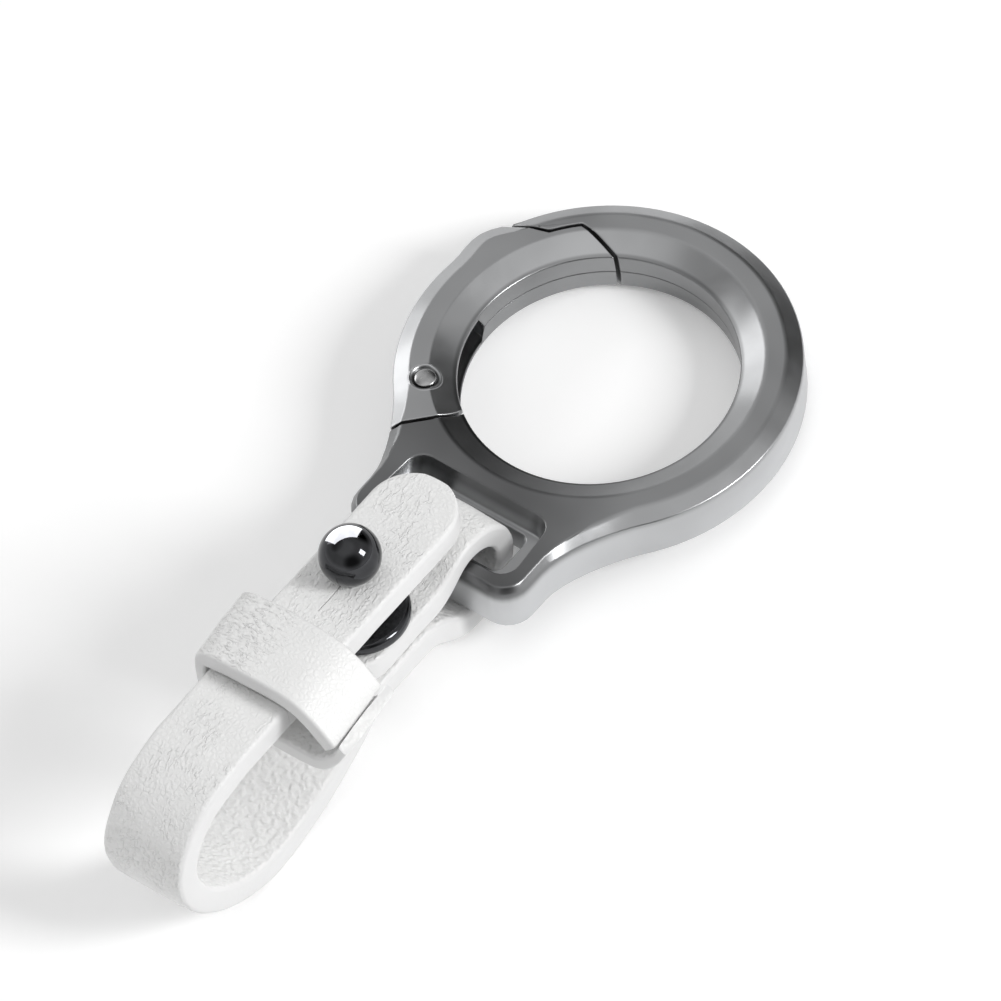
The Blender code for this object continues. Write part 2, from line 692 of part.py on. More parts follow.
def spring_points():
    """The wire's middle line: body leg, curls, gate leg."""
    centre = coil_centre()
    foot = coil_foot()
    start = PIN_ANGLE + LEG_LEAN
    turn = math.tau * COIL_WHOLE_TURNS + LEG_LEAN * 2
    count = round(turn / math.tau * COIL_POINTS_PER_TURN)
    curls = []
    for share in shares(count):
        height = foot + COIL_PITCH * turn / math.tau * share
        curls.append((*polar(COIL_RADIUS, start - turn * share, centre), height))
    first = Vector(curls[0])
    last = Vector(curls[-1])
    body_way = Vector((*polar(1, start + math.pi / 2), 0.0))
    gate_way = Vector((*polar(1, PIN_ANGLE - LEG_LEAN - math.pi / 2), 0.0))
    wire = WIRE_RADIUS * 2
    body_leg = [first + body_way * BODY_LEG_LENGTH, first + body_way * (BODY_LEG_LENGTH - wire)]
    gate_leg = [last + gate_way * (GATE_LEG_LENGTH - wire), last + gate_way * GATE_LEG_LENGTH]
    return [tuple(point) for point in body_leg] + curls + [tuple(point) for point in gate_leg]


def least_wire_gap(points):
    """Least clear distance between the wire and itself, a curl or more along."""
    samples = []
    travelled = 0.0
    for before, after in zip(points, points[1:]):
        start = Vector(before)
        end = Vector(after)
        pieces = max(round((end - start).length / WIRE_RADIUS), 1)
        for piece in range(pieces):
            share = piece / pieces
            samples.append((start.lerp(end, share), travelled + (end - start).length * share))
        travelled += (end - start).length
    least = travelled
    for index, (point, reach) in enumerate(samples):
        for other, other_reach in samples[index + 1:]:
            if other_reach - reach > COIL_RADIUS * math.pi:
                least = min(least, (other - point).length)
    return least - WIRE_RADIUS * 2


def make_gate_spring(material, root):
    """The torsion spring round the tongue's boss that holds the gate shut."""
    points = spring_points()
    curve = bpy.data.curves.new("gate_spring", 'CURVE')
    curve.dimensions = '3D'
    curve.bevel_depth = WIRE_RADIUS
    curve.bevel_resolution = 1
    curve.use_fill_caps = True
    line = curve.splines.new('POLY')
    line.points.add(len(points) - 1)
    origin = Vector((*PIN_CENTRE, 0.0))
    for spot, point in zip(line.points, points):
        spot.co = (*(Vector(point) - origin), 1.0)
    curve.materials.append(material)
    spring = bpy.data.objects.new("gate_spring", curve)
    bpy.context.scene.collection.objects.link(spring)
    spring.parent = root
    spring.location = origin
    print("least gap between curls, mm:", round(least_wire_gap(points) * MILLIMETRES, 3))
    return spring


def leg_slot_core():
    """The small slot in the body's end face that takes the spring's lower leg."""
    way = PIN_ANGLE + LEG_LEAN + math.pi / 2
    start = (*polar(COIL_RADIUS, PIN_ANGLE + LEG_LEAN, coil_centre()), coil_foot())
    end = Vector(start) + Vector((*polar(1, way), 0.0)) * (BODY_LEG_LENGTH + LEG_SLOT_PAST)
    back = Vector((*polar(1, way), 0.0)) * -LEG_SLOT_LENGTH
    half = WIRE_RADIUS + LEG_SLOT_GAP
    side = Vector((*polar(1, way + math.pi / 2), 0.0)) * half
    rise = Vector((0.0, 0.0, half))
    loops = []
    for spot in (end, end + back):
        loops.append([
            tuple(spot + side + rise), tuple(spot - side + rise),
            tuple(spot - side - rise), tuple(spot + side - rise),
        ])
    return stacked(loops)


def leather_section(half_width, half_thickness, edge_radius):
    """Cross-section of a leather strip: across and up offsets with rounded edges."""
    radius = min(edge_radius, half_width * EDGE_SHARE, half_thickness * EDGE_SHARE)
    points = []
    for quarter, (side, face) in enumerate(((1, 1), (-1, 1), (-1, -1), (1, -1))):
        across = side * (half_width - radius)
        up = face * (half_thickness - radius)
        for share in shares(2):
            angle = (quarter + share) * math.pi / 2
            points.append((across + radius * math.cos(angle), up + radius * math.sin(angle)))
    return points


def ribbon(path, half_widths, thicknesses, edge_radius, place):
    """A leather strip along a path; place turns along, up and across into a point."""
    loops = []
    for point, way, half, thickness in zip(path, directions(path), half_widths, thicknesses):
        loop = []
        for across, up in leather_section(half, thickness / 2, edge_radius):
            along = point[0] - way.y * up
            height = point[1] + way.x * up
            loop.append(place(along, height, across))
        loops.append(loop)
    return stacked(loops)


def on_strap(along, height, across):
    """Strap directions to ring directions."""
    return (across, -BAR_REACH - along, height)


def tip_stations(tip, radius, inward):
    """Positions along a rounded end and the half width at each, from the tip inward."""
    stations = []
    for share in shares(TIP_STEPS):
        angle = TIP_FIRST_ANGLE + (math.pi / 2 - TIP_FIRST_ANGLE) * share
        along = tip + inward * radius * (1 - math.cos(angle))
        stations.append((along, radius * math.sin(angle)))
    return stations


def wrap_stations():
    """The fold round the bar, loosening from its top to its foot."""
    stations = []
    sweep = WRAP_END_ANGLE - WRAP_START_ANGLE
    for share in shares(WRAP_STEPS):
        angle = WRAP_START_ANGLE + sweep * share
        radius = WRAP_TOP_RADIUS + (WRAP_FOOT_RADIUS - WRAP_TOP_RADIUS) * share
        thickness = WRAP_TOP_THICKNESS + (WRAP_FOOT_THICKNESS - WRAP_TOP_THICKNESS) * share
        along, height = polar(radius, angle, (0.0, -BAR_DEPTH))
        stations.append((along, height, thickness))
    return stations


def fold_stations(first, first_way, last, last_way, thick_start, thick_end):
    """A smooth change of level between two runs of the strap."""
    run = (Vector(last) - Vector(first)).length
    lead = tuple(Vector(first) + Vector(first_way) * run * FOLD_LEAD_SHARE)
    trail = tuple(Vector(last) - Vector(last_way) * run * FOLD_LEAD_SHARE)
    points = bezier(first, lead, trail, last, FOLD_STEPS)
    stations = []
    for (along, height), share in zip(points, shares(FOLD_STEPS)):
        stations.append((along, height, thick_start + (thick_end - thick_start) * share))
    return stations


def loop_points():
    """The strap's loop, from the end of its flat part under the stud up to the top run."""
    out = LOOP_REACH - FLAT_END
    fall = LOOP_DEPTH + UNDER_LEVEL
    back = LOOP_REACH - TOP_RUN_START
    knots = [(FLAT_END, UNDER_LEVEL)]
    for along, down in LOOP_UNDER_SHARES:
        knots.append((FLAT_END + out * along, UNDER_LEVEL - fall * down))
    for along, up in LOOP_OVER_SHARES:
        knots.append((TOP_RUN_START + back * along, TOP_LEVEL * up))
    knots.append((TOP_RUN_START, TOP_LEVEL))
    return through(knots, LOOP_SUBDIVISIONS)


def strap_stations():
    """Middle line, half width and thickness from the short end's tip to the tab."""
    full = STRAP_THICKNESS
    half = STRAP_HALF_WIDTH
    stations = [(u, END_LEVEL, full, width) for u, width in tip_stations(END_TIP, half, -1)]
    wrap = wrap_stations()
    start_way = polar(1, WRAP_START_ANGLE + math.pi / 2)
    end_way = polar(1, WRAP_END_ANGLE + math.pi / 2)
    fold_in = fold_stations((END_FOLD, END_LEVEL), (-1, 0), wrap[0][:2], start_way, full, wrap[0][2])
    fold_out = fold_stations(wrap[-1][:2], end_way, (UNDER_FOLD, UNDER_LEVEL), (1, 0), wrap[-1][2], full)
    for along, height, thickness in fold_in[:-1] + wrap + fold_out[1:]:
        stations.append((along, height, thickness, half))
    stations += [(along, height, full, half) for along, height in loop_points()]
    last = TAB_SPLIT + TAB_GAP / 2
    for share in shares(TOP_RUN_STEPS)[1:]:
        stations.append((TOP_RUN_START + (last - TOP_RUN_START) * share, TOP_LEVEL, full, half))
    return stations


def make_strap_band(material, root):
    """The strap from its short end round the bar and the loop to the tab's fold."""
    stations = strap_stations()
    path = [station[:2] for station in stations]
    thicknesses = [station[2] for station in stations]
    halves = [station[3] for station in stations]
    source = ribbon(path, halves, thicknesses, STRAP_EDGE_RADIUS, on_strap)
    band = add_object("strap_band", source, material, root)
    bar = Vector((0.0, -BAR_REACH, -BAR_DEPTH))
    move_origin(band, bar)
    low = UNDER_LEVEL - STRAP_THICKNESS
    high = END_LEVEL + STRAP_THICKNESS
    centre = (0.0, -BAR_REACH - STUD_POSITION)
    hole = prism(arc(STRAP_HOLE_RADIUS, 0.0, math.tau, HOLE_STEPS, centre)[:-1], low, high)
    cut(band, add_object("stud_hole_form", hole, None, root))
    smooth(band)
    return band


def move_origin(item, spot):
    """Sets an object's origin without moving its surface."""
    for vertex in item.data.vertices:
        vertex.co -= spot
    item.location = spot


def make_strap_tab(material, root):
    """The end of the strap that buttons over the ball, with its hole and slit."""
    half = STRAP_HALF_WIDTH
    start = TAB_SPLIT - TAB_GAP / 2
    tip = tip_stations(-TAB_TIP, half, 1)[::-1]
    run_end = tip[0][0]
    stations = []
    for share in shares(TAB_RUN_STEPS)[:-1]:
        stations.append((start + (run_end - start) * share, half))
    stations += tip
    path = [(along, TOP_LEVEL) for along, width in stations]
    thicknesses = [STRAP_THICKNESS for station in stations]
    halves = [width for along, width in stations]
    source = ribbon(path, halves, thicknesses, STRAP_EDGE_RADIUS, on_strap)
    tab = add_object("strap_tab", source, material, root)
    move_origin(tab, Vector((0.0, -BAR_REACH - TAB_SPLIT, TOP_LEVEL)))
    centre = (0.0, -BAR_REACH - STUD_POSITION)
    low = TOP_LEVEL - STRAP_THICKNESS
    high = TOP_LEVEL + STRAP_THICKNESS
    hole = prism(arc(TAB_HOLE_RADIUS, 0.0, math.tau, HOLE_STEPS, centre)[:-1], low, high)
    cut(tab, add_object("tab_hole_form", hole, None, root))
    edge = TAB_SLIT_WIDTH / 2
    end = centre[1] - TAB_HOLE_RADIUS - TAB_SLIT_LENGTH
    slit = [(edge, centre[1]), (-edge, centre[1]), (-edge, end), (edge, end)]
    cut(tab, add_object("tab_slit_form", prism(slit, low, high), None, root))
    smooth(tab)
    return tab


def keeper_stations():
    """The keeper's middle line and thickness, from its cut end round to its curl."""
    top = KEEPER_TOP_LEVEL
    foot = KEEPER_FOOT_LEVEL
    corner = KEEPER_FOLD_CORNER
    edge = STRAP_HALF_WIDTH
    full = KEEPER_THICKNESS
    fold = KEEPER_FOLD_THICKNESS
    tip = KEEPER_TIP_THICKNESS
    knots = [
        (edge + KEEPER_CUT_STEP, top - KEEPER_CUT_FALL, full),
        (edge + KEEPER_SLOPE_STEP, top - KEEPER_SLOPE_FALL, full),
        (edge, top + KEEPER_ARCH / 2, full),
        (0.0, top + KEEPER_ARCH, full),
        (corner - KEEPER_FOLD_X, top, full),
        (-KEEPER_FOLD_X, top - corner, fold),
        (-KEEPER_FOLD_X, foot + corner, fold),
        (corner - KEEPER_FOLD_X, foot, full),
        (0.0, foot, full),
        (edge + KEEPER_BEND_STEP, foot, full),
        (edge + KEEPER_RISE_STEP, foot + KEEPER_RISE_LIFT, (full + tip) / 2),
        (edge + KEEPER_CURL_STEP, foot + KEEPER_CURL_LIFT, tip),
        (edge + KEEPER_TIP_STEP, foot + KEEPER_TIP_LIFT, tip),
    ]
    return through(knots, KEEPER_SUBDIVISIONS)


def make_keeper_loop(material, root):
    """The folded leather band that slides on the strap's top run, a little skewed."""
    stations = keeper_stations()
    middle = -BAR_REACH - KEEPER_START - KEEPER_WIDTH / 2

    def place(along, height, across):
        return (along - KEEPER_SKEW_SHARE * across, middle + across, height)

    path = [(across, height) for across, height, thickness in stations]
    halves = [KEEPER_WIDTH / 2 for station in stations]
    thicknesses = [thickness for across, height, thickness in stations]
    source = ribbon(path, halves, thicknesses, KEEPER_EDGE_RADIUS, place)
    keeper = add_object("keeper_loop", source, material, root)
    move_origin(keeper, Vector((0.0, middle, TOP_LEVEL)))
    smooth(keeper)
    return keeper


def rounded_rim(radius, low, high, rounding):
    """Profile points round a disc's edge, from its lower face to its upper."""
    points = []
    for share in shares(ROUNDING_STEPS):
        angle = (share - 1) * math.pi / 2
        spot = polar(rounding, angle, (radius - rounding, low + rounding))
        points.append(spot)
    for share in shares(ROUNDING_STEPS):
        points.append(polar(rounding, share * math.pi / 2, (radius - rounding, high - rounding)))
    return points


def strap_foot():
    """Height of the strap's lower face under the stud."""
    return UNDER_LEVEL - STRAP_THICKNESS / 2


def make_stud_head(material, root):
    """The ball, its neck and flange, and the barrel that passes the strap."""
    low = FLANGE_FOOT_LEVEL
    barrel_foot = strap_foot() + BARREL_FOOT_INSET
    profile = [(0.0, BORE_TOP_LEVEL), (BORE_RADIUS, BORE_TOP_LEVEL)]
    profile += [(BORE_RADIUS, barrel_foot), (BARREL_RADIUS, barrel_foot), (BARREL_RADIUS, low)]
    profile += rounded_rim(FLANGE_RADIUS, low, low + FLANGE_THICKNESS, FLANGE_ROUNDING)
    profile.append((NECK_RADIUS, low + FLANGE_THICKNESS))
    first = math.pi - math.asin(NECK_RADIUS / BALL_RADIUS)
    for share in shares(BALL_STEPS):
        angle = first * (1 - share)
        profile.append((BALL_RADIUS * math.sin(angle), BALL_LEVEL + BALL_RADIUS * math.cos(angle)))
    spot = (0.0, -BAR_REACH - STUD_POSITION, 0.0)
    stud = add_object("stud_head", turned(profile, STUD_STEPS), material, root, spot)
    smooth(stud)
    return stud


def make_stud_screw(material, root):
    """The slotted screw that draws the stud down on the strap from below."""
    high = strap_foot() - SCREW_HEAD_GAP
    low = high - SCREW_HEAD_THICKNESS
    tip = BORE_TOP_LEVEL - SCREW_TIP_GAP
    profile = [(0.0, low)]
    for share in shares(ROUNDING_STEPS):
        angle = (share - 1) * math.pi / 2
        centre = (SCREW_HEAD_RADIUS - SCREW_HEAD_ROUNDING, low + SCREW_HEAD_ROUNDING)
        profile.append(polar(SCREW_HEAD_ROUNDING, angle, centre))
    profile += [
        (SCREW_HEAD_RADIUS, high),
        (SCREW_SHANK_RADIUS, high),
        (SCREW_SHANK_RADIUS, tip - SCREW_TIP_CHAMFER),
        (SCREW_SHANK_RADIUS - SCREW_TIP_CHAMFER, tip),
        (0.0, tip),
    ]
    spot = (0.0, -BAR_REACH - STUD_POSITION, 0.0)
    screw = add_object("stud_screw", turned(profile, STUD_STEPS), material, root, spot)
    half = SCREW_SLOT_WIDTH / 2
    reach = SCREW_HEAD_RADIUS + CUT_OVERRUN
    y = spot[1]
    slot = [(reach, y - half), (reach, y + half), (-reach, y + half), (-reach, y - half)]
    core = prism(slot, low - CUT_OVERRUN, low + SCREW_SLOT_DEPTH)
    cut(screw, add_object("screw_slot_form", core, None, root))
    smooth(screw)
    return screw


def floor_tilt():
    """Turn about X that sets the ring's far foot and the strap's loop on one level."""
    far = RING_RADIUS - FOOT_CHAMFER
    steepest = 0.0
    for along, height, thickness, half in strap_stations():
        if along > FLAT_END:
            fall = height - thickness / 2 + RING_THICKNESS
            run = far + BAR_REACH + along
            steepest = max(steepest, math.atan2(-fall, run))
    return -steepest


def set_on_floor(root, items):
    """Moves the root so that the whole stands centred on the floor."""
    bpy.context.view_layer.update()
    graph = bpy.context.evaluated_depsgraph_get()
    points = []
    for item in items:
        form = item.evaluated_get(graph)
        mesh = form.to_mesh()
        points += [form.matrix_world @ vertex.co for vertex in mesh.vertices]
        form.to_mesh_clear()
    lows = [min(point[axis] for point in points) for axis in (0, 1, 2)]
    highs = [max(point[axis] for point in points) for axis in (0, 1, 2)]
    root.location = (-(lows[0] + highs[0]) / 2, -(lows[1] + highs[1]) / 2, -lows[2])
    bpy.context.view_layer.update()


def build():
    """Makes every piece and sets the whole on the floor."""
    clear_scene()
    root = bpy.data.objects.new("keychain_root", None)
    bpy.context.scene.collection.objects.link(root)
    root.rotation_euler = (floor_tilt(), 0.0, 0.0)
    metal = make_material("ring_metal", METAL_COLOUR, 1.0, 0.35)
    gate_metal = make_material("gate_metal", METAL_COLOUR, 1.0, 0.35)
    pin_metal = make_material("pin_metal", PIN_COLOUR, 1.0, 0.3)
    spring_metal = make_material("spring_metal", SPRING_COLOUR, 1.0, 0.3)
    leather = make_material("strap_leather", LEATHER_COLOUR, 0.0, 0.55)
    tab_leather = make_material("tab_leather", LEATHER_COLOUR, 0.0, 0.55)
    keeper_leather = make_material("keeper_leather", LEATHER_COLOUR, 0.0, 0.55)
    stud_metal = make_material("stud_metal", STUD_COLOUR, 1.0, 0.1)
    screw_metal = make_material("screw_metal", STUD_COLOUR, 1.0, 0.2)
    items = [
        make_ring_body(metal, root),
        make_gate(gate_metal, root),
        make_hinge_pin(pin_metal, root),
        make_gate_spring(spring_metal, root),
        make_strap_band(leather, root),
        make_strap_tab(tab_leather, root),
        make_keeper_loop(keeper_leather, root),
        make_stud_head(stud_metal, root),
        make_stud_screw(screw_metal, root),
    ]
    set_on_floor(root, items)


build()
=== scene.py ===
"""Finished look of a carabiner keychain: metal ring, sprung gate, ball stud and strap."""

import json
import math

import bmesh
import bpy
from bpy.props import FloatProperty, FloatVectorProperty, IntProperty, PointerProperty
from mathutils import Matrix, Vector, noise


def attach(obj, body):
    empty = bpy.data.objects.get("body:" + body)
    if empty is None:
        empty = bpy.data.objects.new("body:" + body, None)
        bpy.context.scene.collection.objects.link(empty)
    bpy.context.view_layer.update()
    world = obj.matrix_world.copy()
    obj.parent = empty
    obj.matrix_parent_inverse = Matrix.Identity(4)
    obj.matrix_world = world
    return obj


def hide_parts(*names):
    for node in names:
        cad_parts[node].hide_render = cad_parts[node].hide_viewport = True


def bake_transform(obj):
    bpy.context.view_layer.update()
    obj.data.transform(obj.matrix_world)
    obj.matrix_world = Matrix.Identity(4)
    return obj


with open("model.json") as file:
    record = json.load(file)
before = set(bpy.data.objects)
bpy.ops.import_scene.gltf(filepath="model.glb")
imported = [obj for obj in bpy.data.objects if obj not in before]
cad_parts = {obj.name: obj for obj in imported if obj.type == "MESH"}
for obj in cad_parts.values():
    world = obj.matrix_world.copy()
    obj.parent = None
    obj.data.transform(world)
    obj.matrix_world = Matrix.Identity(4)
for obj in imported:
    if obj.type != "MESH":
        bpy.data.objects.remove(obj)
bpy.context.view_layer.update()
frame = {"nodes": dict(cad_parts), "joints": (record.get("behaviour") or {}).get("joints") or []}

bl_info = {
    "name": "Carabiner Keychain",
    "version": (1, 0, 0),
    "blender": (4, 5, 0),
    "location": "View3D > Sidebar > Keychain",
    "description": "Makes a snap ring keychain with its leather strap, piece by piece",
    "category": "Add Mesh",
}

JOINTS = {joint["name"]: joint for joint in frame["joints"]}
BAR = Vector(JOINTS["strap_swing"]["pos_m"])
PIN = Vector(JOINTS["gate_hinge"]["pos_m"])
ACROSS = Vector((1.0, 0.0, 0.0))
ALONG = Vector(JOINTS["keeper_slide"]["axis"]).normalized()
UP = ALONG.cross(ACROSS)
RING_THICKNESS = 0.0058
TOP = UP * (RING_THICKNESS / 2)  # From the plate's middle to its top face.
BAR_REACH = 0.0253
BAR_TOP = BAR + TOP
RING_CENTRE = BAR - ALONG * BAR_REACH + TOP  # On the ring's top face.
MERGE = 0.000001

# Painted reflection and painted shade on the casting, and its finish: heights over the top face,
# radii round the ring and round the rivet, and the pocket's limits from the ring's centre.
HOLE_WALL = (0.0136, 0.0139)
OUTER_WALL = (0.0182, 0.019)
WALL_TOP = (-0.0015, -0.0008)
POCKET_NEAR = (0.016, 0.017)
POCKET_FAR = (0.0262, 0.0265)
POCKET_SIDE = (0.0078, 0.0082)
MOULD_SEAM = (-0.0032, 0.00011)
RIVET_SINK = (0.0012, 0.00022)
RIVET_RIM = (0.00152, 0.00016)
# How far the tail's top faces are painted darker, as painted shade.
RING_TAIL_SHADE = 0.52
PEEL_SCALE = 5200.0
PEBBLE_SCALE = 1900.0

# The strap's tip, its fold round the bar, and the spacing of its sections.
STRAP_THICKNESS = 0.0028
TIP_START = math.radians(7.0)
TIP_STEPS = 16
TIP_THICKNESS = 0.62
TIP_RISE = 0.38
FOLD_LEAD = 0.00495
FOLD_START = math.radians(60.0)
FOLD_TURN = math.radians(234.0)
FOLD_RADIUS = 0.004509
FOLD_SLACK = 0.0004
FOLD_THICKNESS = 0.00225
FOLD_SWELL = 0.00035
FOLD_STEPS = 44
UNDER_START = 0.0077
JOIN_STEPS = 12
STRAP_SPACING = 0.00028
WAVE_DEPTH = 0.00008

# Openings in the leather, and how far a cutter reaches past it.
STUD_HOLE = 0.0024
TAB_HOLE = 0.0016
SLIT_HALF = 0.00006
SLIT_NEAR = 0.001
SLIT_FAR = 0.0053
CUTTER_REACH = 0.003

# Seats and small gaps of the stud, its screw and the rivet.
FLANGE_SEAT = 0.0002
BORE_STOP = 0.0006
BARREL_REST = 0.0004
BALL_SINK = 0.0002
NECK_FILLET = 0.0002
RIVET_NECK = 0.00045
RIVET_SINK_DEPTH = 0.00015
SCREW_HEAD_THICKNESS = 0.0012
SCREW_GAP = 0.0001
SCREW_TIP_GAP = 0.0005
SCREW_CHAMFER = 0.0003
SLOT_DEPTH = 0.0005

# Soft patches of the studio: turn, height, inner and outer reach in degrees, and gain.
PATCHES = (
    (94.0, 20.0, 12.0, 44.0, -0.62),
    (205.0, 50.0, 8.0, 28.0, -0.36),
    (-90.0, 74.0, 10.0, 40.0, 0.3),
    (-40.0, 22.0, 8.0, 40.0, -0.5),
)

# The camera's right and up by the ring's own axes, and its shift off the ring's centre.
VIEW_RIGHT = (0.7925, 0.6028, -0.0906)
VIEW_UP = (-0.4366, 0.6648, 0.6062)
VIEW_SHIFT = (0.009108, 0.012977)
SENSOR_WIDTH = 36.0


def number(name, description, default, low=0.0, **extras):
    """A number that a user may change."""
    return FloatProperty(name=name, description=description, default=default, min=low, **extras)


def length(name, description, default, low=0.0):
    """A length that a user may change."""
    return number(name, description, default, low, unit='LENGTH')


def tint(name, description, default):
    """A colour that a user may change."""
    return FloatVectorProperty(
        name=name, description=description, default=default, subtype='COLOR', min=0.0, max=1.0)


class MetalLook(bpy.types.PropertyGroup):
    """Edges and finish of the cast metal."""
    edge: length("Edge rounding", "Width of the rounding on the casting's edges", 0.00016)
    fine_edge: length("Fine edge rounding", "Width of the rounding on the gate's edges", 0.00012)
    soft_edge: length("Soft edge rounding", "Width of the rounding beside the slopes", 0.0003)
    steps: IntProperty(
        name="Rounding steps", description="Faces across one rounded edge", default=3, min=1)
    plating: tint("Plating colour", "Colour of the satin plating", (0.43, 0.435, 0.442))
    bright: tint("Bright steel", "Colour of the rivet and the spring wire", (0.5, 0.5, 0.505))
    black: tint("Black nickel", "Colour of the polished stud and screw", (0.052, 0.053, 0.056))


class LeatherSizes(bpy.types.PropertyGroup):
    """Sizes and colour of the leather strap, lengths counted from the ring's bar."""
    width: length("Width", "Width of the strap", 0.0092)
    thickness: length("Thickness", "Thickness of the strap", STRAP_THICKNESS)
    edge: length("Edge rounding", "Rounding of the cut edges", 0.0005)
    crown: length("Crown", "How far the faces stand up between the edges", 0.00006)
    stud: length("Stud place", "Length from the bar to the stud", 0.0114)
    end_tip: length("Short end", "Length from the bar to the short end's tip", 0.018)
    flat_end: length("Flat end", "Length from the bar to where the loop starts to fall", 0.0145)
    loop_reach: length("Loop reach", "Length from the bar to the loop's far side", 0.0436)
    loop_depth: length("Loop depth", "Depth of the loop under the ring's top face", 0.0114)
    top_start: length("Top run", "Length from the bar to the loop's top run", 0.0309)
    seam: length("Seam", "Length from the bar to the join hidden in the keeper", 0.0274)
    tab_tip: length("Tab tip", "Length from the bar back to the tab's tip", 0.0019)
    end_level: length("Short end level", "Height of the short end's middle", -0.0005, -0.01)
    under_level: length("Under level", "Height of the under run's middle", -0.0042, -0.01)
    top_level: length("Top level", "Height of the top run's middle", 0.0063)
    colour: tint("Leather colour", "Colour of the grain side", (0.88, 0.88, 0.875))
    edge_colour: tint("Edge colour", "Colour of the painted edges", (0.72, 0.72, 0.72))


class KeeperSizes(bpy.types.PropertyGroup):
    """Sizes of the folded leather keeper."""
    start: length("Start", "Length from the bar to the keeper's near edge", 0.0194)
    width: length("Width", "Width of the keeper along the strap", 0.0084)
    skew: number(
        "Skew", "Sideways shift of the keeper for each length along the strap", 0.09, -1.0)
    thickness: length("Thickness", "Thickness of the keeper", 0.00195)
    fold_thickness: length(
        "Fold thickness", "Thickness of the keeper where it is pressed at its fold", 0.00125)
    tip_thickness: length("Tip thickness", "Thickness of the keeper's curl at its tip", 0.00105)
    gap: length("Gap", "Space between the keeper and the strap", 0.000225)
    arch: length("Arch", "How far the upper run stands up over the strap's middle", 0.00045)
    height: length("Height", "Height from the keeper's lower run to its upper run", 0.0071)


class StudSizes(bpy.types.PropertyGroup):
    """Sizes of the ball stud, its screw and the hinge rivet."""
    ball: length("Ball radius", "Radius of the ball", 0.003)
    neck: length("Neck radius", "Radius of the neck", 0.0013)
    flange: length("Flange radius", "Radius of the flange", 0.00495)
    flange_thickness: length("Flange thickness", "Thickness of the flange", 0.0015)
    bore: length("Bore radius", "Radius of the screw's bore", 0.0015)
    barrel: length("Barrel radius", "Radius of the barrel that passes the strap", 0.0021)
    screw_head: length("Screw head radius", "Radius of the screw's head", 0.0029)
    screw_shank: length("Screw shank radius", "Radius of the screw's shank", 0.00125)
    slot_width: length("Slot width", "Width of the screw's slot", 0.0007)
    rivet_head: length("Rivet head radius", "Radius of the rivet's head", 0.00105)
    rivet_shank: length("Rivet shank radius", "Radius of the rivet's shank", 0.00065)


class SpringSizes(bpy.types.PropertyGroup):
    """Sizes of the torsion spring in the gate."""
    wire: length("Wire radius", "Radius of the wire", 0.000175)
    coil: length("Coil radius", "Radius of the coil", 0.00215)
    pitch: length("Pitch", "Rise of one turn", 0.00078)
    offset: length("Offset", "How far the coil sits inward of the rivet", 0.0005)
    foot: length("Foot", "Height of the lowest turn over the ring's underside", 0.002115)
    lean: number("Leg lean", "Lean of each leg", math.radians(11.3), subtype='ANGLE')
    gate_leg: length("Gate leg", "Length of the leg in the gate", 0.0065)
    body_leg: length("Body leg", "Length of the leg in the ring", 0.0062)


class StageLook(bpy.types.PropertyGroup):
    """Floor, soft lights and the photograph's camera."""
    view_width: length("View width", "Width that the picture spans at the keychain", 0.09399)
    lens: number("Lens", "Focal length of the camera in millimetres", 800.0, 1.0)
    floor_half: length("Floor half width", "Half the width of the floor", 1.5)
    floor_colour: tint("Floor colour", "Colour of the pale floor", (0.97, 0.97, 0.97))
    floor_lift: number("Floor lift", "Glow that brings the floor up to white", 0.15)
    ceiling: number("Ceiling level", "Brightness of the studio overhead", 0.6)
    horizon: number("Horizon level", "Brightness of the backdrop all round", 1.0)


def shade(colour, level):
    """A colour made darker or brighter."""
    return tuple(value * level for value in colour)


class Socket:
    """A value or colour in a material, ready for ordinary sums."""

    def __init__(self, surface, plug):
        self.surface = surface
        self.plug = plug

    def sum(self, operation, first, second):
        return self.surface.node("ShaderNodeMath", {"operation": operation}, {0: first, 1: second})

    def __add__(self, other):
        return self.sum('ADD', self, other)

    __radd__ = __add__

    def __sub__(self, other):
        return self.sum('SUBTRACT', self, other)

    def __rsub__(self, other):
        return self.sum('SUBTRACT', other, self)

    def __mul__(self, other):
        return self.sum('MULTIPLY', self, other)

    __rmul__ = __mul__

    def __abs__(self):
        return self.sum('ABSOLUTE', self, 0.0)


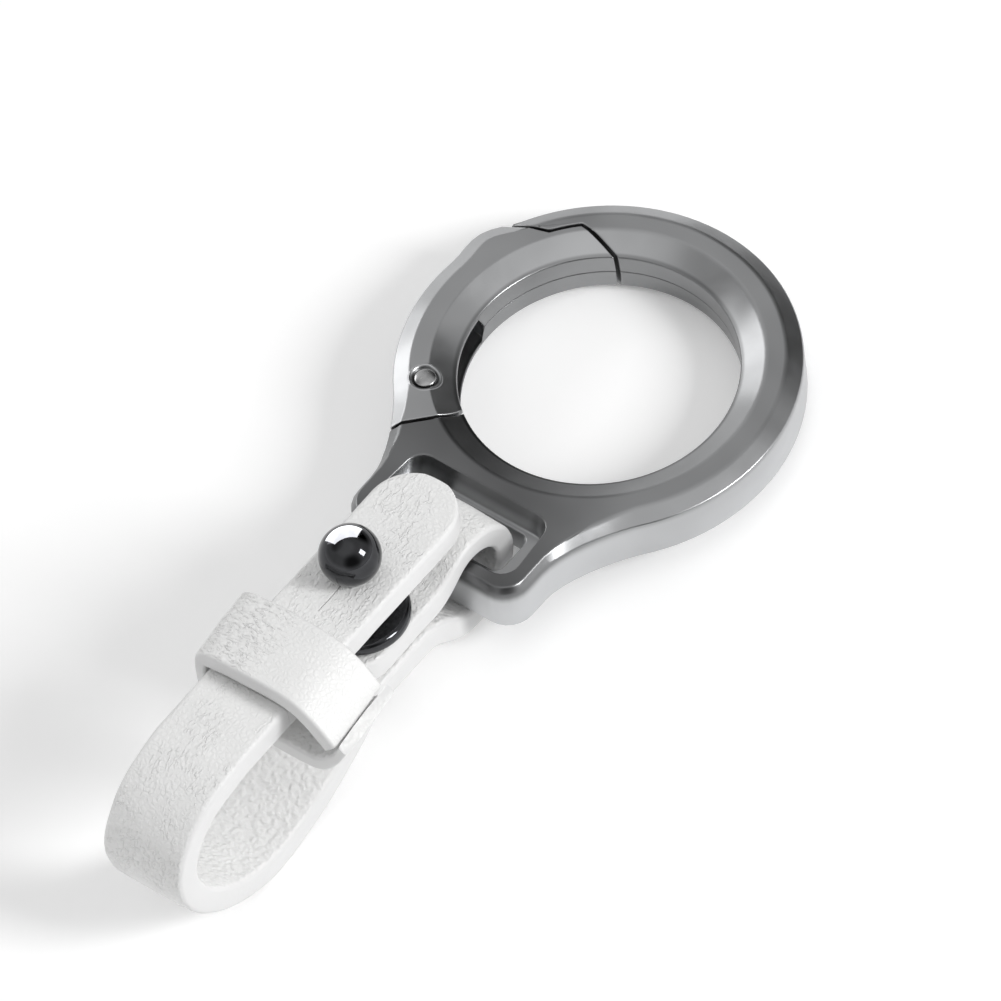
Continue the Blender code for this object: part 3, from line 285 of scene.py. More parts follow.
class Nodes:
    """A tree of nodes, made from plain calls."""

    def __init__(self, tree):
        self.tree = tree

    def node(self, kind, settings=None, values=None, result=0):
        """Adds one node: its settings first, then the values or links of its sockets."""
        made = self.tree.nodes.new(kind)
        for key, value in (settings or {}).items():
            setattr(made, key, value)
        for key, value in (values or {}).items():
            self.feed(made.inputs[key], value)
        return Socket(self, made.outputs[result])

    def feed(self, entry, value):
        """Links a socket or sets a plain value."""
        if isinstance(value, Socket):
            self.tree.links.new(value.plug, entry)
        elif hasattr(entry.default_value, "__len__") and len(entry.default_value) == 4:
            entry.default_value = (*value, 1.0) if len(value) == 3 else value
        else:
            entry.default_value = value

    def coords(self):
        """Places on the object, in metres."""
        return self.node("ShaderNodeTexCoord", result="Object")

    def ray(self, name):
        """Whether a ray of one kind meets the surface."""
        return self.node("ShaderNodeLightPath", result=name)

    def attribute(self, name):
        """A value kept on the mesh."""
        return self.node("ShaderNodeAttribute", {"attribute_name": name}, result="Fac")

    def grain(self, place, scale, detail=2.0, rough=0.5, warp=0.0):
        """Cloudy noise between 0 and 1."""
        values = {"Vector": place, "Scale": scale, "Detail": detail, "Roughness": rough,
                  "Distortion": warp}
        return self.node("ShaderNodeTexNoise", None, values)

    def cells(self, place, scale, feature='DISTANCE_TO_EDGE'):
        """Distances in a field of uneven cells."""
        values = {"Vector": place, "Scale": scale, "Randomness": 1.0}
        return self.node("ShaderNodeTexVoronoi", {"feature": feature}, values, "Distance")

    def step(self, value, low, high, to_low=0.0, to_high=1.0):
        """Eases a value from one range to another."""
        values = {"Value": value, "From Min": low, "From Max": high, "To Min": to_low,
                  "To Max": to_high}
        return self.node("ShaderNodeMapRange", {"interpolation_type": 'SMOOTHSTEP'}, values)

    def line(self, value, place, half):
        """A thin line where a value passes one place."""
        return self.step(abs(value - place), 0.0, half, 1.0, 0.0)

    def vector(self, operation, first, second, result=0):
        """Two vectors combined, or a vector times a number."""
        values = {0: first, "Scale" if operation == 'SCALE' else 1: second}
        return self.node("ShaderNodeVectorMath", {"operation": operation}, values, result)

    def dot(self, place, way):
        """How far a place lies along a direction."""
        return self.vector('DOT_PRODUCT', place, way, "Value")

    def reach(self, place, centre):
        """Distance from an upright axis through a point, and height over that point."""
        offset = self.vector('SUBTRACT', place, centre)
        height = self.dot(offset, UP)
        return self.vector('DISTANCE', offset, self.vector('SCALE', UP, height), "Value"), height

    def mix(self, share, first, second):
        """One colour changing into another."""
        values = {0: share, 6: first, 7: second}
        return self.node("ShaderNodeMix", {"data_type": 'RGBA'}, values, 2)

    def blend(self, share, first, second):
        """One value changing into another."""
        return first + (second - first) * share

    def relief(self, height, depth, under=None):
        """Raised and sunk detail of a given depth, in metres."""
        values = {"Height": height, "Distance": depth, "Strength": 1.0}
        if under:
            values["Normal"] = under
        return self.node("ShaderNodeBump", None, values, "Normal")


class Surface(Nodes):
    """A material with its nodes."""

    def __init__(self, name, preview):
        self.material = bpy.data.materials.new(name)
        self.material.use_nodes = True
        self.material.diffuse_color = (*preview, 1.0)
        super().__init__(self.material.node_tree)
        self.shader = self.tree.nodes["Principled BSDF"]

    def set(self, **sockets):
        """Feeds the shader's own sockets, named with underscores for spaces."""
        for name, value in sockets.items():
            self.feed(self.shader.inputs[name.replace("_", " ")], value)


def plating(name, colour, tail_shade):
    """Satin plated casting, with painted reflection brightening its outer walls and painted shade
    darkening its hole and its tail.
    """
    surface = Surface(name, colour)
    place = surface.coords()
    radius, height = surface.reach(place, RING_CENTRE)
    pin, _ = surface.reach(place, PIN)
    clouds = surface.grain(place, 60.0)
    peel = surface.grain(place, PEEL_SCALE)
    swell = surface.grain(place, 110.0, 1.0, 0.4)
    marks = surface.grain(place, 260.0, 3.0, 0.6, 0.6)
    bore = surface.step(radius, *HOLE_WALL, 1.0, 0.0)
    seam = surface.line(height, *MOULD_SEAM) * bore
    sink = surface.line(pin, *RIVET_SINK)
    rim = surface.line(pin, *RIVET_RIM)
    offset = surface.vector('SUBTRACT', place, RING_CENTRE)
    tail = surface.dot(offset, ALONG - ACROSS * 0.5)
    along = surface.dot(offset, ALONG)
    across = abs(surface.dot(offset, ACROSS))
    pocket = surface.step(along, *POCKET_NEAR) * surface.step(along, *POCKET_FAR, 1.0, 0.0)
    pocket = pocket * surface.step(across, *POCKET_SIDE, 1.0, 0.0)
    # Painted reflection: the outer walls below the top face, outside the pocket, get plating made
    # 38% brighter.
    flank = surface.step(radius, *OUTER_WALL) * surface.step(height, *WALL_TOP, 1.0, 0.0)
    # Painted shade: the tail's top faces and the hole's wall are painted darker, over random
    # cloudy tone.
    painted_shade_and_tone = surface.step(tail, 0.003, 0.017, 0.0, tail_shade) * surface.step(height, -0.002, -0.0008)
    painted_shade_and_tone = painted_shade_and_tone + 0.2 * surface.step(clouds, 0.35, 0.65) + 0.4 * bore
    black = shade(colour, 0.1)
    painted_wall_reflection = shade(colour, 1.38)
    deep = surface.mix(painted_shade_and_tone, surface.mix(flank * (1.0 - pocket), colour, painted_wall_reflection), black)
    deep = surface.mix(seam * 0.6 + sink * 0.85, deep, black)
    detail = surface.relief(rim - 1.5 * seam - 1.5 * sink, 0.00004, surface.relief(swell, 0.0006))
    surface.set(
        Base_Color=deep,
        Metallic=1.0,
        Roughness=0.29 + 0.05 * surface.step(marks, 0.3, 0.75) + 0.02 * peel,
        Normal=surface.relief(peel, 0.0000008, detail),
    )
    return surface.material


def polish(name, colour, rough):
    """Polished black nickel: deep colour, faint haze and hairline swirls."""
    surface = Surface(name, colour)
    place = surface.coords()
    haze = surface.grain(place, 420.0, 3.0, 0.6)
    drawn = surface.vector('MULTIPLY', place, (1.0, 6.0, 2.0))
    swirl = surface.grain(drawn, 2600.0, 4.0, 0.6, 1.5)
    hair = surface.step(abs(swirl - 0.5), 0.0, 0.02, 1.0, 0.0)
    surface.set(
        Base_Color=surface.mix(surface.step(haze, 0.35, 0.7), colour, shade(colour, 1.25)),
        Metallic=1.0,
        Roughness=rough + 0.05 * surface.step(haze, 0.4, 0.75) + 0.05 * hair,
        Normal=surface.relief(haze, 0.000008),
    )
    return surface.material


def drawn_steel(name, colour):
    """Bright drawn steel with fine lines and a little dulling."""
    surface = Surface(name, colour)
    place = surface.coords()
    lines = surface.grain(surface.vector('MULTIPLY', place, (1.0, 1.0, 9.0)), 3200.0, 3.0, 0.6)
    dull = surface.grain(place, 700.0, 3.0, 0.6)
    surface.set(
        Base_Color=surface.mix(surface.step(dull, 0.35, 0.7), shade(colour, 0.78), colour),
        Metallic=1.0,
        Roughness=0.18 + 0.14 * lines,
        Normal=surface.relief(lines, 0.000003),
    )
    return surface.material


def leather(name, look, wrinkle_turn):
    """Pale leather: pebbled grain outside, coarse flesh side inside, smooth painted edges."""
    surface = Surface(name, look.colour)
    place = surface.coords()
    flesh = surface.attribute("flesh")
    edge = surface.attribute("edge")
    drift = surface.node("ShaderNodeTexNoise", None, {"Vector": place, "Scale": 900.0}, "Color")
    bent = surface.vector('ADD', place, surface.vector('SCALE', drift, 0.0005))
    pebbles = surface.step(surface.cells(bent, PEBBLE_SCALE), 0.0, 0.34)
    fine = surface.grain(place, PEEL_SCALE, 4.0, 0.62)
    stretch = (1.0, 3.4, 2.0) if wrinkle_turn else (2.6, 1.0, 1.6)
    pulled = surface.vector('MULTIPLY', bent, stretch)
    folds = surface.grain(pulled, 1150.0, warp=0.5)
    wrinkles = surface.step(folds, 0.5, 0.66)
    if wrinkle_turn:
        spread = surface.step(surface.dot(place, ACROSS), 0.003, -0.002)
    else:
        spread = surface.step(surface.grain(place, 260.0), 0.36, 0.58)
    skin = 0.24 * pebbles + 0.2 * fine + 0.56 * spread * wrinkles
    knobs = surface.step(surface.cells(bent, PEBBLE_SCALE, 'SMOOTH_F1'), 0.1, 0.75, 1.0, 0.0)
    rough_side = 0.75 * knobs + 0.45 * surface.grain(place, 2600.0, 4.0, 0.7)
    rim = 0.35 * surface.grain(place, 1500.0, 3.0, 0.5) + 0.4
    faces = surface.blend(flesh, skin * 1.25, rough_side * 1.6)
    height = surface.blend(edge, faces, rim * 0.35)
    worn = surface.step(surface.grain(place, 330.0, 4.0, 0.65), 0.3, 0.75)
    smooth = surface.mix(worn, shade(look.colour, 0.955), look.colour)
    # Painted shade: the creases between the grain's pebbles, and between the flesh side's knobs,
    # are painted 6% darker.
    raised = surface.blend(flesh, pebbles, rough_side)
    skin_colour = surface.mix(raised, shade(look.colour, 0.94), smooth)
    surface.set(
        Base_Color=surface.mix(edge, skin_colour, look.edge_colour),
        Roughness=surface.blend(edge, 0.50 - 0.12 * pebbles + 0.10 * worn, 0.42),
        Specular_IOR_Level=0.45,
        Normal=surface.relief(height, 0.0001),
    )
    return surface.material


def linked(name, data):
    """A new object in the scene."""
    made = bpy.data.objects.new(name, data)
    bpy.context.scene.collection.objects.link(made)
    return made


def finished(name, mesh, body, material, slot, *nodes):
    """Puts a finished mesh in the scene, riding on its body in place of its solids."""
    piece = linked(name, mesh)
    mesh.materials.clear()
    mesh.materials.append(material)
    if body:
        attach(piece, body)
    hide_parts(*nodes)
    return piece


def to_mesh(bm, name, smooth_angle=math.radians(40.0), recalculate=True):
    """Closes a bmesh into a smooth shaded mesh with its hard edges kept."""
    if recalculate:
        bmesh.ops.recalc_face_normals(bm, faces=bm.faces[:])
    mesh = bpy.data.meshes.new(name)
    bm.to_mesh(mesh)
    bm.free()
    mesh.shade_smooth()
    mesh.set_sharp_from_angle(angle=smooth_angle)
    return mesh


def applied(mesh, modifiers):
    """A mesh after modifiers, each a type and its settings."""
    holder = linked(mesh.name, mesh)
    for kind, settings in modifiers:
        modifier = holder.modifiers.new(kind.title(), kind)
        for key, value in settings.items():
            setattr(modifier, key, value)
    graph = bpy.context.evaluated_depsgraph_get()
    result = bpy.data.meshes.new_from_object(holder.evaluated_get(graph))
    bpy.data.objects.remove(holder, do_unlink=True)
    return result


def weighted(mesh):
    """The mesh with normals that keep its broad faces flat."""
    return applied(mesh, [('WEIGHTED_NORMAL', {"keep_sharp": True, "weight": 90})])


def cut_by(mesh, cutters):
    """The mesh with each cutter's space taken out of it."""
    guides = [linked(cutter.name, cutter) for cutter in cutters]
    steps = [('BOOLEAN', {"operation": 'DIFFERENCE', "solver": 'EXACT', "object": guide})
             for guide in guides]
    result = applied(mesh, steps)
    for guide in guides:
        bpy.data.objects.remove(guide, do_unlink=True)
    return result


def round_edges(bm, low, high, width, steps):
    """Rounds every edge whose bend lies between two angles in degrees."""
    low, high = math.radians(low), math.radians(high)
    hard = [edge for edge in bm.edges
            if edge.is_manifold and low < abs(edge.calc_face_angle_signed(0.0)) <= high]
    bmesh.ops.bevel(
        bm, geom=hard, offset=width, offset_type='OFFSET', affect='EDGES', segments=steps,
        profile=0.5, material=-1, clamp_overlap=False, loop_slide=True)


def rounded_copy(node, rounds, steps):
    """A merged copy of a solid with its edges rounded, each round two angles and a width."""
    bm = bmesh.new()
    bm.from_mesh(frame["nodes"][node].data)
    bmesh.ops.remove_doubles(bm, verts=bm.verts[:], dist=0.000002)
    bmesh.ops.dissolve_limit(
        bm, angle_limit=math.radians(0.6), verts=bm.verts[:], edges=bm.edges[:])
    bmesh.ops.dissolve_degenerate(bm, dist=0.00008, edges=bm.edges[:])
    for low, high, width in rounds:
        round_edges(bm, low, high, width, steps)
    bmesh.ops.dissolve_degenerate(bm, dist=MERGE, edges=bm.edges[:])
    return weighted(to_mesh(bm, node + "_rounded", recalculate=False))


def lathe(name, points, steps, centre, smooth_angle=math.radians(30.0)):
    """A closed turned form from radius and height pairs, upright at a place."""
    bm = bmesh.new()
    chain = [bm.verts.new((radius, 0.0, height)) for radius, height in points]
    for pair in zip(chain, chain[1:]):
        bm.edges.new(pair)
    bmesh.ops.spin(
        bm, geom=bm.verts[:] + bm.edges[:], cent=(0, 0, 0), axis=(0, 0, 1), angle=math.tau,
        steps=steps, use_merge=True)
    bmesh.ops.remove_doubles(bm, verts=bm.verts[:], dist=MERGE)
    stand(bm, centre)
    return to_mesh(bm, name, smooth_angle)


def stand(bm, centre):
    """Moves a form from its own upright axis to a place in the keychain."""
    turn = Matrix((ACROSS, -ALONG, UP)).transposed().to_4x4()
    bmesh.ops.transform(bm, matrix=Matrix.Translation(centre) @ turn, verts=bm.verts[:])


def arc(radius, start, end, steps, centre=(0.0, 0.0)):
    """Points along an arc, both ends included."""
    turns = [start + (end - start) * step / steps for step in range(steps + 1)]
    return [(centre[0] + radius * math.cos(turn), centre[1] + radius * math.sin(turn))
            for turn in turns]


def through(knots, steps):
    """A smooth path that passes through every knot."""
    points = [Vector(knot) for knot in knots]
    padded = [points[0] * 2 - points[1]] + points + [points[-1] * 2 - points[-2]]
    path = []
    for before, start, end, after in zip(padded, padded[1:], padded[2:], padded[3:]):
        for step in range(steps):
            t = step / steps
            lead = (end - before) / 2
            trail = (after - start) / 2
            bend = ((end - start) * 3 - lead * 2 - trail) * t ** 2
            close = ((start - end) * 2 + lead + trail) * t ** 3
            path.append(start + lead * t + bend + close)
    path.append(points[-1])
    return path


def eased(path, rounds):
    """A path with its small unevenness smoothed out, both ends held."""
    for _ in range(rounds):
        inner = [(before + point * 2 + after) / 4
                 for before, point, after in zip(path, path[1:], path[2:])]
        path = [path[0]] + inner + [path[-1]]
    return path


def spaced(path, gap):
    """The path again with stations an even length apart."""
    result = [path[0]]
    left = gap
    for start, end in zip(path, path[1:]):
        span = (end - start).length
        done = 0.0
        while span - done >= left:
            done += left
            result.append(start.lerp(end, done / span))
            left = gap
        left -= span - done
    if (result[-1] - path[-1]).length < gap / 2:
        result[-1] = path[-1]
    else:
        result.append(path[-1])
    return result


def placed(*columns):
    """The move with three given directions and a place as its columns."""
    return Matrix([[column[row] for column in columns] for row in range(3)] + [(0, 0, 0, 1)])


class Strip:
    """A strip of leather swept along a path from one rounded section.

    The path is flat, in a side view given by its origin and its right, up and depth directions.
    """

    def __init__(self, half_width, half_thickness, edge, crown, cuts, view):
        self.view = view
        self.bm = bmesh.new()
        self.flesh = self.bm.verts.layers.float.new("flesh")
        self.edge = self.bm.verts.layers.float.new("edge")
        corners = [(-1, -1), (1, -1), (1, 1), (-1, 1)]
        face = self.bm.faces.new([
            self.bm.verts.new((x * half_width, y * half_thickness, 0.0)) for x, y in corners])
        bmesh.ops.bevel(
            self.bm, geom=face.verts[:], offset=edge, offset_type='OFFSET', affect='VERTICES',
            segments=5, profile=0.5, material=-1)
        long_edges = [line for line in self.bm.edges if line.calc_length() > half_width]
        bmesh.ops.bisect_edges(self.bm, edges=long_edges, cuts=cuts)
        for vert in self.bm.verts:
            share = abs(vert.co.x) / half_width
            side = 1.0 if vert.co.y > 0 else -1.0
            vert.co.y += side * crown * (1.0 - share ** 2)
            vert[self.flesh] = 1.0 if side > 0 else 0.0
            reach = (abs(vert.co.x) - half_width + edge) / edge
            vert[self.edge] = min(max(reach * 1.6 - 0.3, 0.0), 1.0)
        self.cap = self.bm.faces[:][0]
        self.before = Matrix.Identity(4)

    def place(self, spot, way, width_share, thickness_share):
        """The move that sets the section at a spot of the path."""
        origin, first, second, third = self.view
        along = first * way.x + second * way.y
        up = second * way.x - first * way.y
        centre = origin + first * spot.x + second * spot.y
        return placed(third * width_share, up * thickness_share, along, centre)

    def sweep(self, stations):
        """Draws the section through stations of place, width share and thickness share."""
        spots = [station[0] for station in stations]
        ahead = spots[1:] + spots[-1:]
        behind = spots[:1] + spots[:-1]
        verts = self.bm.verts[:]
        for index, (spot, width, thickness) in enumerate(stations):
            way = (ahead[index] - behind[index]).normalized()
            move = self.place(spot, way, width, thickness)
            if index:
                passed = self.cap
                made = bmesh.ops.extrude_face_region(self.bm, geom=[passed])["geom"]
                verts = [item for item in made if isinstance(item, bmesh.types.BMVert)]
                self.cap = next(item for item in made if isinstance(item, bmesh.types.BMFace))
                if index > 1:
                    bmesh.ops.delete(self.bm, geom=[passed], context='FACES_ONLY')
            bmesh.ops.transform(self.bm, matrix=move @ self.before.inverted(), verts=verts)
            self.before = move

    def wave(self, depth, scale, seed):
        """Gives the leather its slight hand-cut unevenness."""
        self.bm.normal_update()
        moves = []
        for vert in self.bm.verts:
            value = noise.noise(vert.co * scale + Vector((seed, seed, seed)))
            moves.append(vert.normal * (value * depth))
        for vert, move in zip(self.bm.verts, moves):
            vert.co += move


def tip_stations(tip, radius, edge, inward, level):
    """Stations round a strap's rounded end, from the tip inward."""
    stations = []
    for step in range(TIP_STEPS + 1):
        angle = TIP_START + (math.pi / 2 - TIP_START) * step / TIP_STEPS
        reach = radius * (1.0 - math.cos(angle))
        lift = min(reach / edge, 1.0)
        rise = math.sqrt(max(1.0 - (1.0 - lift) ** 2, 0.0))
        thickness = TIP_THICKNESS + TIP_RISE * rise
        stations.append((Vector((tip + inward * reach, level)), math.sin(angle), thickness))
    return stations


def bezier(first, first_way, last, last_way):
    """A smooth change between two runs of the strap."""
    first = Vector(first)
    last = Vector(last)
    lead = first + Vector(first_way) * (last - first).length * 0.4
    trail = last - Vector(last_way) * (last - first).length * 0.4
    path = []
    for step in range(JOIN_STEPS + 1):
        t = step / JOIN_STEPS
        s = 1 - t
        path.append(first * s ** 3 + lead * 3 * s * s * t + trail * 3 * s * t * t + last * t ** 3)
    return path


def wrap_path():
    """The fold round the bar: places and thickness shares, loosening downward."""
    result = []
    for step in range(FOLD_STEPS + 1):
        share = step / FOLD_STEPS
        turn = FOLD_START + FOLD_TURN * share
        radius = FOLD_RADIUS + FOLD_SLACK * share
        spot = Vector((radius * math.cos(turn), radius * math.sin(turn) - RING_THICKNESS / 2))
        result.append((spot, (FOLD_THICKNESS + FOLD_SWELL * share) / STRAP_THICKNESS))
    return result


def changing(spots, first, last):
    """Stations whose thickness share goes from one value to another."""
    return [(spot, 1.0, first + (last - first) * ((index + 1) / JOIN_STEPS))
            for index, spot in enumerate(spots)]


def strap_stations(sizes):
    """The long piece of the strap, from its short end round the bar and loop to the seam."""
    radius = sizes.width / 2
    stations = tip_stations(sizes.end_tip, radius, sizes.edge, -1, sizes.end_level)
    start = stations[-1][0]
    fold = Vector((sizes.stud - FOLD_LEAD, sizes.end_level))
    run = spaced([start, fold], 0.0003)[1:]
    stations += [(spot, 1.0, 1.0) for spot in run]
    wrap = wrap_path()
    first_way = (wrap[1][0] - wrap[0][0]).normalized()
    last_way = (wrap[-1][0] - wrap[-2][0]).normalized()
    blend_in = bezier(fold, (-1, 0), wrap[0][0], first_way)[1:-1]
    stations += changing(blend_in, 1.0, wrap[0][1])
    stations += [(spot, 1.0, thickness) for spot, thickness in wrap]
    under = Vector((UNDER_START, sizes.under_level))
    blend_out = bezier(wrap[-1][0], last_way, under, (1, 0))[1:]
    stations += changing(blend_out, wrap[-1][1], 1.0)
    stations += [(spot, 1.0, 1.0) for spot in loop_path(sizes, under)[1:]]
    return stations


def loop_path(sizes, start):
    """The under run, the loop and the top run, as far as the seam in the keeper."""
    out = sizes.loop_reach - sizes.flat_end
    fall = sizes.loop_depth + sizes.under_level
    back = sizes.loop_reach - sizes.top_start
    knots = [(sizes.flat_end, sizes.under_level)]
    for along, down in (
            (0.069, 0.139), (0.151, 0.382), (0.247, 0.597), (0.368, 0.806), (0.491, 0.944),
            (0.605, 1.000), (0.739, 0.882), (0.859, 0.565), (0.952, 0.176), (1.000, -0.314)):
        knots.append((sizes.flat_end + out * along, sizes.under_level - fall * down))
    for along, up in (
            (0.984, 0.080), (0.906, 0.420), (0.740, 0.735), (0.504, 0.925), (0.228, 0.990)):
        knots.append((sizes.top_start + back * along, sizes.top_level * up))
    knots.append((sizes.top_start, sizes.top_level))
    curve = eased(through(knots, 14), 60)
    path = [start] + curve + [Vector((sizes.seam, sizes.top_level))]
    return spaced(path, STRAP_SPACING)


def keeper_stations(keeper, strap):
    """The keeper's middle line and thickness share, from its cut end round to its curl."""
    top = strap.top_level + (strap.thickness + keeper.thickness) / 2 + keeper.gap
    foot = top - keeper.height
    edge = strap.width / 2
    full = keeper.thickness
    fold = keeper.fold_thickness
    tip = keeper.tip_thickness
    side = edge + keeper.gap + keeper.skew * keeper.width / 2 + fold / 2
    corner = 0.0012
    knots = [
        (edge + 0.0046, top - 0.0032, full), (edge + 0.0024, top - 0.001, full),
        (edge, top + keeper.arch / 2, full), (0.0, top + keeper.arch, full),
        (corner - side, top, full), (-side, top - corner, fold), (-side, foot + corner, fold),
        (corner - side, foot, full), (0.0, foot, full), (edge + 0.0008, foot, full),
        (edge + 0.003, foot + 0.0004, (full + tip) / 2), (edge + 0.005, foot + 0.0024, tip),
        (edge + 0.0062, foot + 0.0047, tip),
    ]
    path = spaced(through(knots, 16), 0.00024)
    return [(Vector(spot[:2]), 1.0, spot[2] / full) for spot in path]


def box_mesh(name, low, high):
    """A block between two corners given across, back along and up from the bar's top face."""
    bm = bmesh.new()
    bmesh.ops.create_cube(bm, size=1.0)
    size = Vector(high) - Vector(low)
    bmesh.ops.scale(bm, vec=size, verts=bm.verts[:])
    bmesh.ops.translate(bm, vec=(Vector(high) + Vector(low)) / 2, verts=bm.verts[:])
    stand(bm, BAR_TOP)
    return to_mesh(bm, name)


def stud_place(strap):
    """The stud's axis where it crosses the ring's top face level."""
    return BAR + ALONG * strap.stud + TOP


def hole_mesh(name, strap, radius, low, high):
    """A round cutter on the stud's axis."""
    points = [(0.0, low), (radius, low), (radius, high), (0.0, high)]
    return lathe(name, points, 72, stud_place(strap), math.radians(40.0))


def strap_mesh(name, strap, stations, cutters):
    """A piece of the strap along its stations, with its openings cut."""
    view = (BAR_TOP, ALONG, UP, ACROSS)
    strip = Strip(strap.width / 2, strap.thickness / 2, strap.edge, strap.crown, 26, view)
    strip.sweep(stations)
    strip.wave(WAVE_DEPTH, 260.0, 3.1)
    return cut_by(to_mesh(strip.bm, name, math.radians(50.0)), cutters)


class KEYCHAIN_OT_ring(bpy.types.Operator):
    """Make the cast ring with rounded edges and satin plating"""
    bl_idname = "keychain.ring"
    bl_label = "Ring"

    def execute(self, context):
        look = context.scene.keychain_metal
        surface = plating("satin_plating", look.plating, RING_TAIL_SHADE)
        rounds = [(20.0, 40.0, look.soft_edge), (40.0, 180.0, look.edge)]
        mesh = rounded_copy("ring_body", rounds, look.steps)
        finished("ring_casting", mesh, "ring", surface, "ring_metal", "ring_body")
        return {'FINISHED'}


class KEYCHAIN_OT_gate(bpy.types.Operator):
    """Make the swinging gate with rounded edges"""
    bl_idname = "keychain.gate"
    bl_label = "Gate"

    def execute(self, context):
        look = context.scene.keychain_metal
        # Painted light: the gate's plating is a lighter copy of the ring's, made 14% brighter.
        surface = plating("gate_plating", shade(look.plating, 1.14), 0.0)
        mesh = rounded_copy("gate", [(20.0, 180.0, look.fine_edge)], look.steps)
        finished("gate_casting", mesh, "gate", surface, "gate_metal", "gate")
        return {'FINISHED'}


class KEYCHAIN_OT_rivet(bpy.types.Operator):
    """Make the domed rivet that the gate turns on"""
    bl_idname = "keychain.rivet"
    bl_label = "Rivet"

    def execute(self, context):
        sizes = context.scene.keychain_stud
        foot = 0.0001 - RING_THICKNESS
        points = [
            (0.0, foot), (sizes.rivet_shank - 0.0002, foot), (sizes.rivet_shank, foot + 0.0002),
            (sizes.rivet_shank, -RIVET_NECK), (sizes.rivet_head, -RIVET_SINK_DEPTH),
        ]
        points += [(radius, height * 0.25 - RIVET_SINK_DEPTH) for radius, height in
                   arc(sizes.rivet_head, 0.0, math.pi / 2, 14)[1:]]
        points[-1] = (0.0, points[-1][1])
        mesh = lathe("rivet", points, 64, PIN + TOP)
        surface = drawn_steel("rivet_steel", context.scene.keychain_metal.bright)
        finished("rivet", mesh, "ring", surface, "pin_metal", "hinge_pin")
        return {'FINISHED'}


def wire_points(sizes):
    """The spring's middle line: the ring's leg, the coil from below, and the gate's leg."""
    out = PIN - RING_CENTRE
    flat = Vector((out.dot(ACROSS), -out.dot(ALONG)))
    facing = math.atan2(flat.y, flat.x)
    centre = flat - flat.normalized() * sizes.offset
    turn = math.tau * 2 + sizes.lean * 2
    start = facing + sizes.lean
    points = []
    steps = 72
    for step in range(steps + 1):
        angle = start - turn * step / steps
        height = sizes.foot - RING_THICKNESS + sizes.pitch * turn / math.tau * step / steps
        points.append(Vector((centre.x + sizes.coil * math.cos(angle),
                              centre.y + sizes.coil * math.sin(angle), height)))
    body_way = Vector((-math.sin(start), math.cos(start), 0.0))
    last = facing - sizes.lean - math.pi / 2
    gate_way = Vector((math.cos(last), math.sin(last), 0.0))
    points.insert(0, points[0] + body_way * sizes.body_leg)
    points.append(points[-1] + gate_way * sizes.gate_leg)
    return points


def wire_mesh(points, radius):
    """A closed round wire along a line given by the ring's own axes."""
    curve = bpy.data.curves.new("torsion_wire", 'CURVE')
    curve.dimensions = '3D'
    curve.bevel_depth = radius
    curve.bevel_resolution = 5
    curve.use_fill_caps = True
    line = curve.splines.new('POLY')
    line.points.add(len(points) - 1)
    for spot, point in zip(line.points, points):
        world = RING_CENTRE + ACROSS * point.x - ALONG * point.y + UP * point.z
        spot.co = (*world, 1.0)
    holder = linked("torsion_wire_line", curve)
    graph = bpy.context.evaluated_depsgraph_get()
    bm = bmesh.new()
    bm.from_mesh(holder.evaluated_get(graph).to_mesh())
    bpy.data.objects.remove(holder, do_unlink=True)
    bmesh.ops.remove_doubles(bm, verts=bm.verts[:], dist=MERGE)
    return to_mesh(bm, "torsion_wire")


class KEYCHAIN_OT_spring(bpy.types.Operator):
    """Make the torsion spring that shuts the gate"""
    bl_idname = "keychain.spring"
    bl_label = "Spring"

    def execute(self, context):
        sizes = context.scene.keychain_spring
        points = wire_points(sizes)
        mesh = wire_mesh(points, sizes.wire)
        surface = drawn_steel("spring_steel", context.scene.keychain_metal.bright)
        piece = finished("torsion_wire", mesh, None, surface, "spring_metal", "gate_spring")
        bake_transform(piece)
        return {'FINISHED'}


class KEYCHAIN_OT_strap(bpy.types.Operator):
    """Make the strap from its short end round the bar and the loop"""
    bl_idname = "keychain.strap"
    bl_label = "Strap"

    def execute(self, context):
        strap = context.scene.keychain_strap
        hole = hole_mesh("stud_hole", strap, STUD_HOLE, -0.0072, 0.0025)
        mesh = strap_mesh("strap_leather_long", strap, strap_stations(strap), [hole])
        surface = leather("strap_skin", strap, False)
        finished("strap_long", mesh, "strap", surface, "strap_leather", "strap_band")
        return {'FINISHED'}


class KEYCHAIN_OT_tab(bpy.types.Operator):
    """Make the strap's end that buttons over the ball"""
    bl_idname = "keychain.tab"
    bl_label = "Tab"

    def execute(self, context):
        strap = context.scene.keychain_strap
        tip = tip_stations(-strap.tab_tip, strap.width / 2, strap.edge, 1, strap.top_level)[::-1]
        start = Vector((strap.seam - 0.00004, strap.top_level))
        run = spaced([start, tip[0][0]], STRAP_SPACING)[:-1]
        stations = [(spot, 1.0, 1.0) for spot in run] + tip
        low, high = strap.top_level - CUTTER_REACH, strap.top_level + CUTTER_REACH
        slit = box_mesh("tab_slit", (-SLIT_HALF, -strap.stud - SLIT_FAR, low),
                        (SLIT_HALF, -strap.stud - SLIT_NEAR, high))
        hole = hole_mesh("tab_hole", strap, TAB_HOLE, low, high)
        mesh = strap_mesh("strap_leather_tab", strap, stations, [hole, slit])
        surface = leather("tab_skin", strap, False)
        piece = finished("strap_tab_end", mesh, None, surface, "tab_leather", "strap_tab")
        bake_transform(piece)
        return {'FINISHED'}


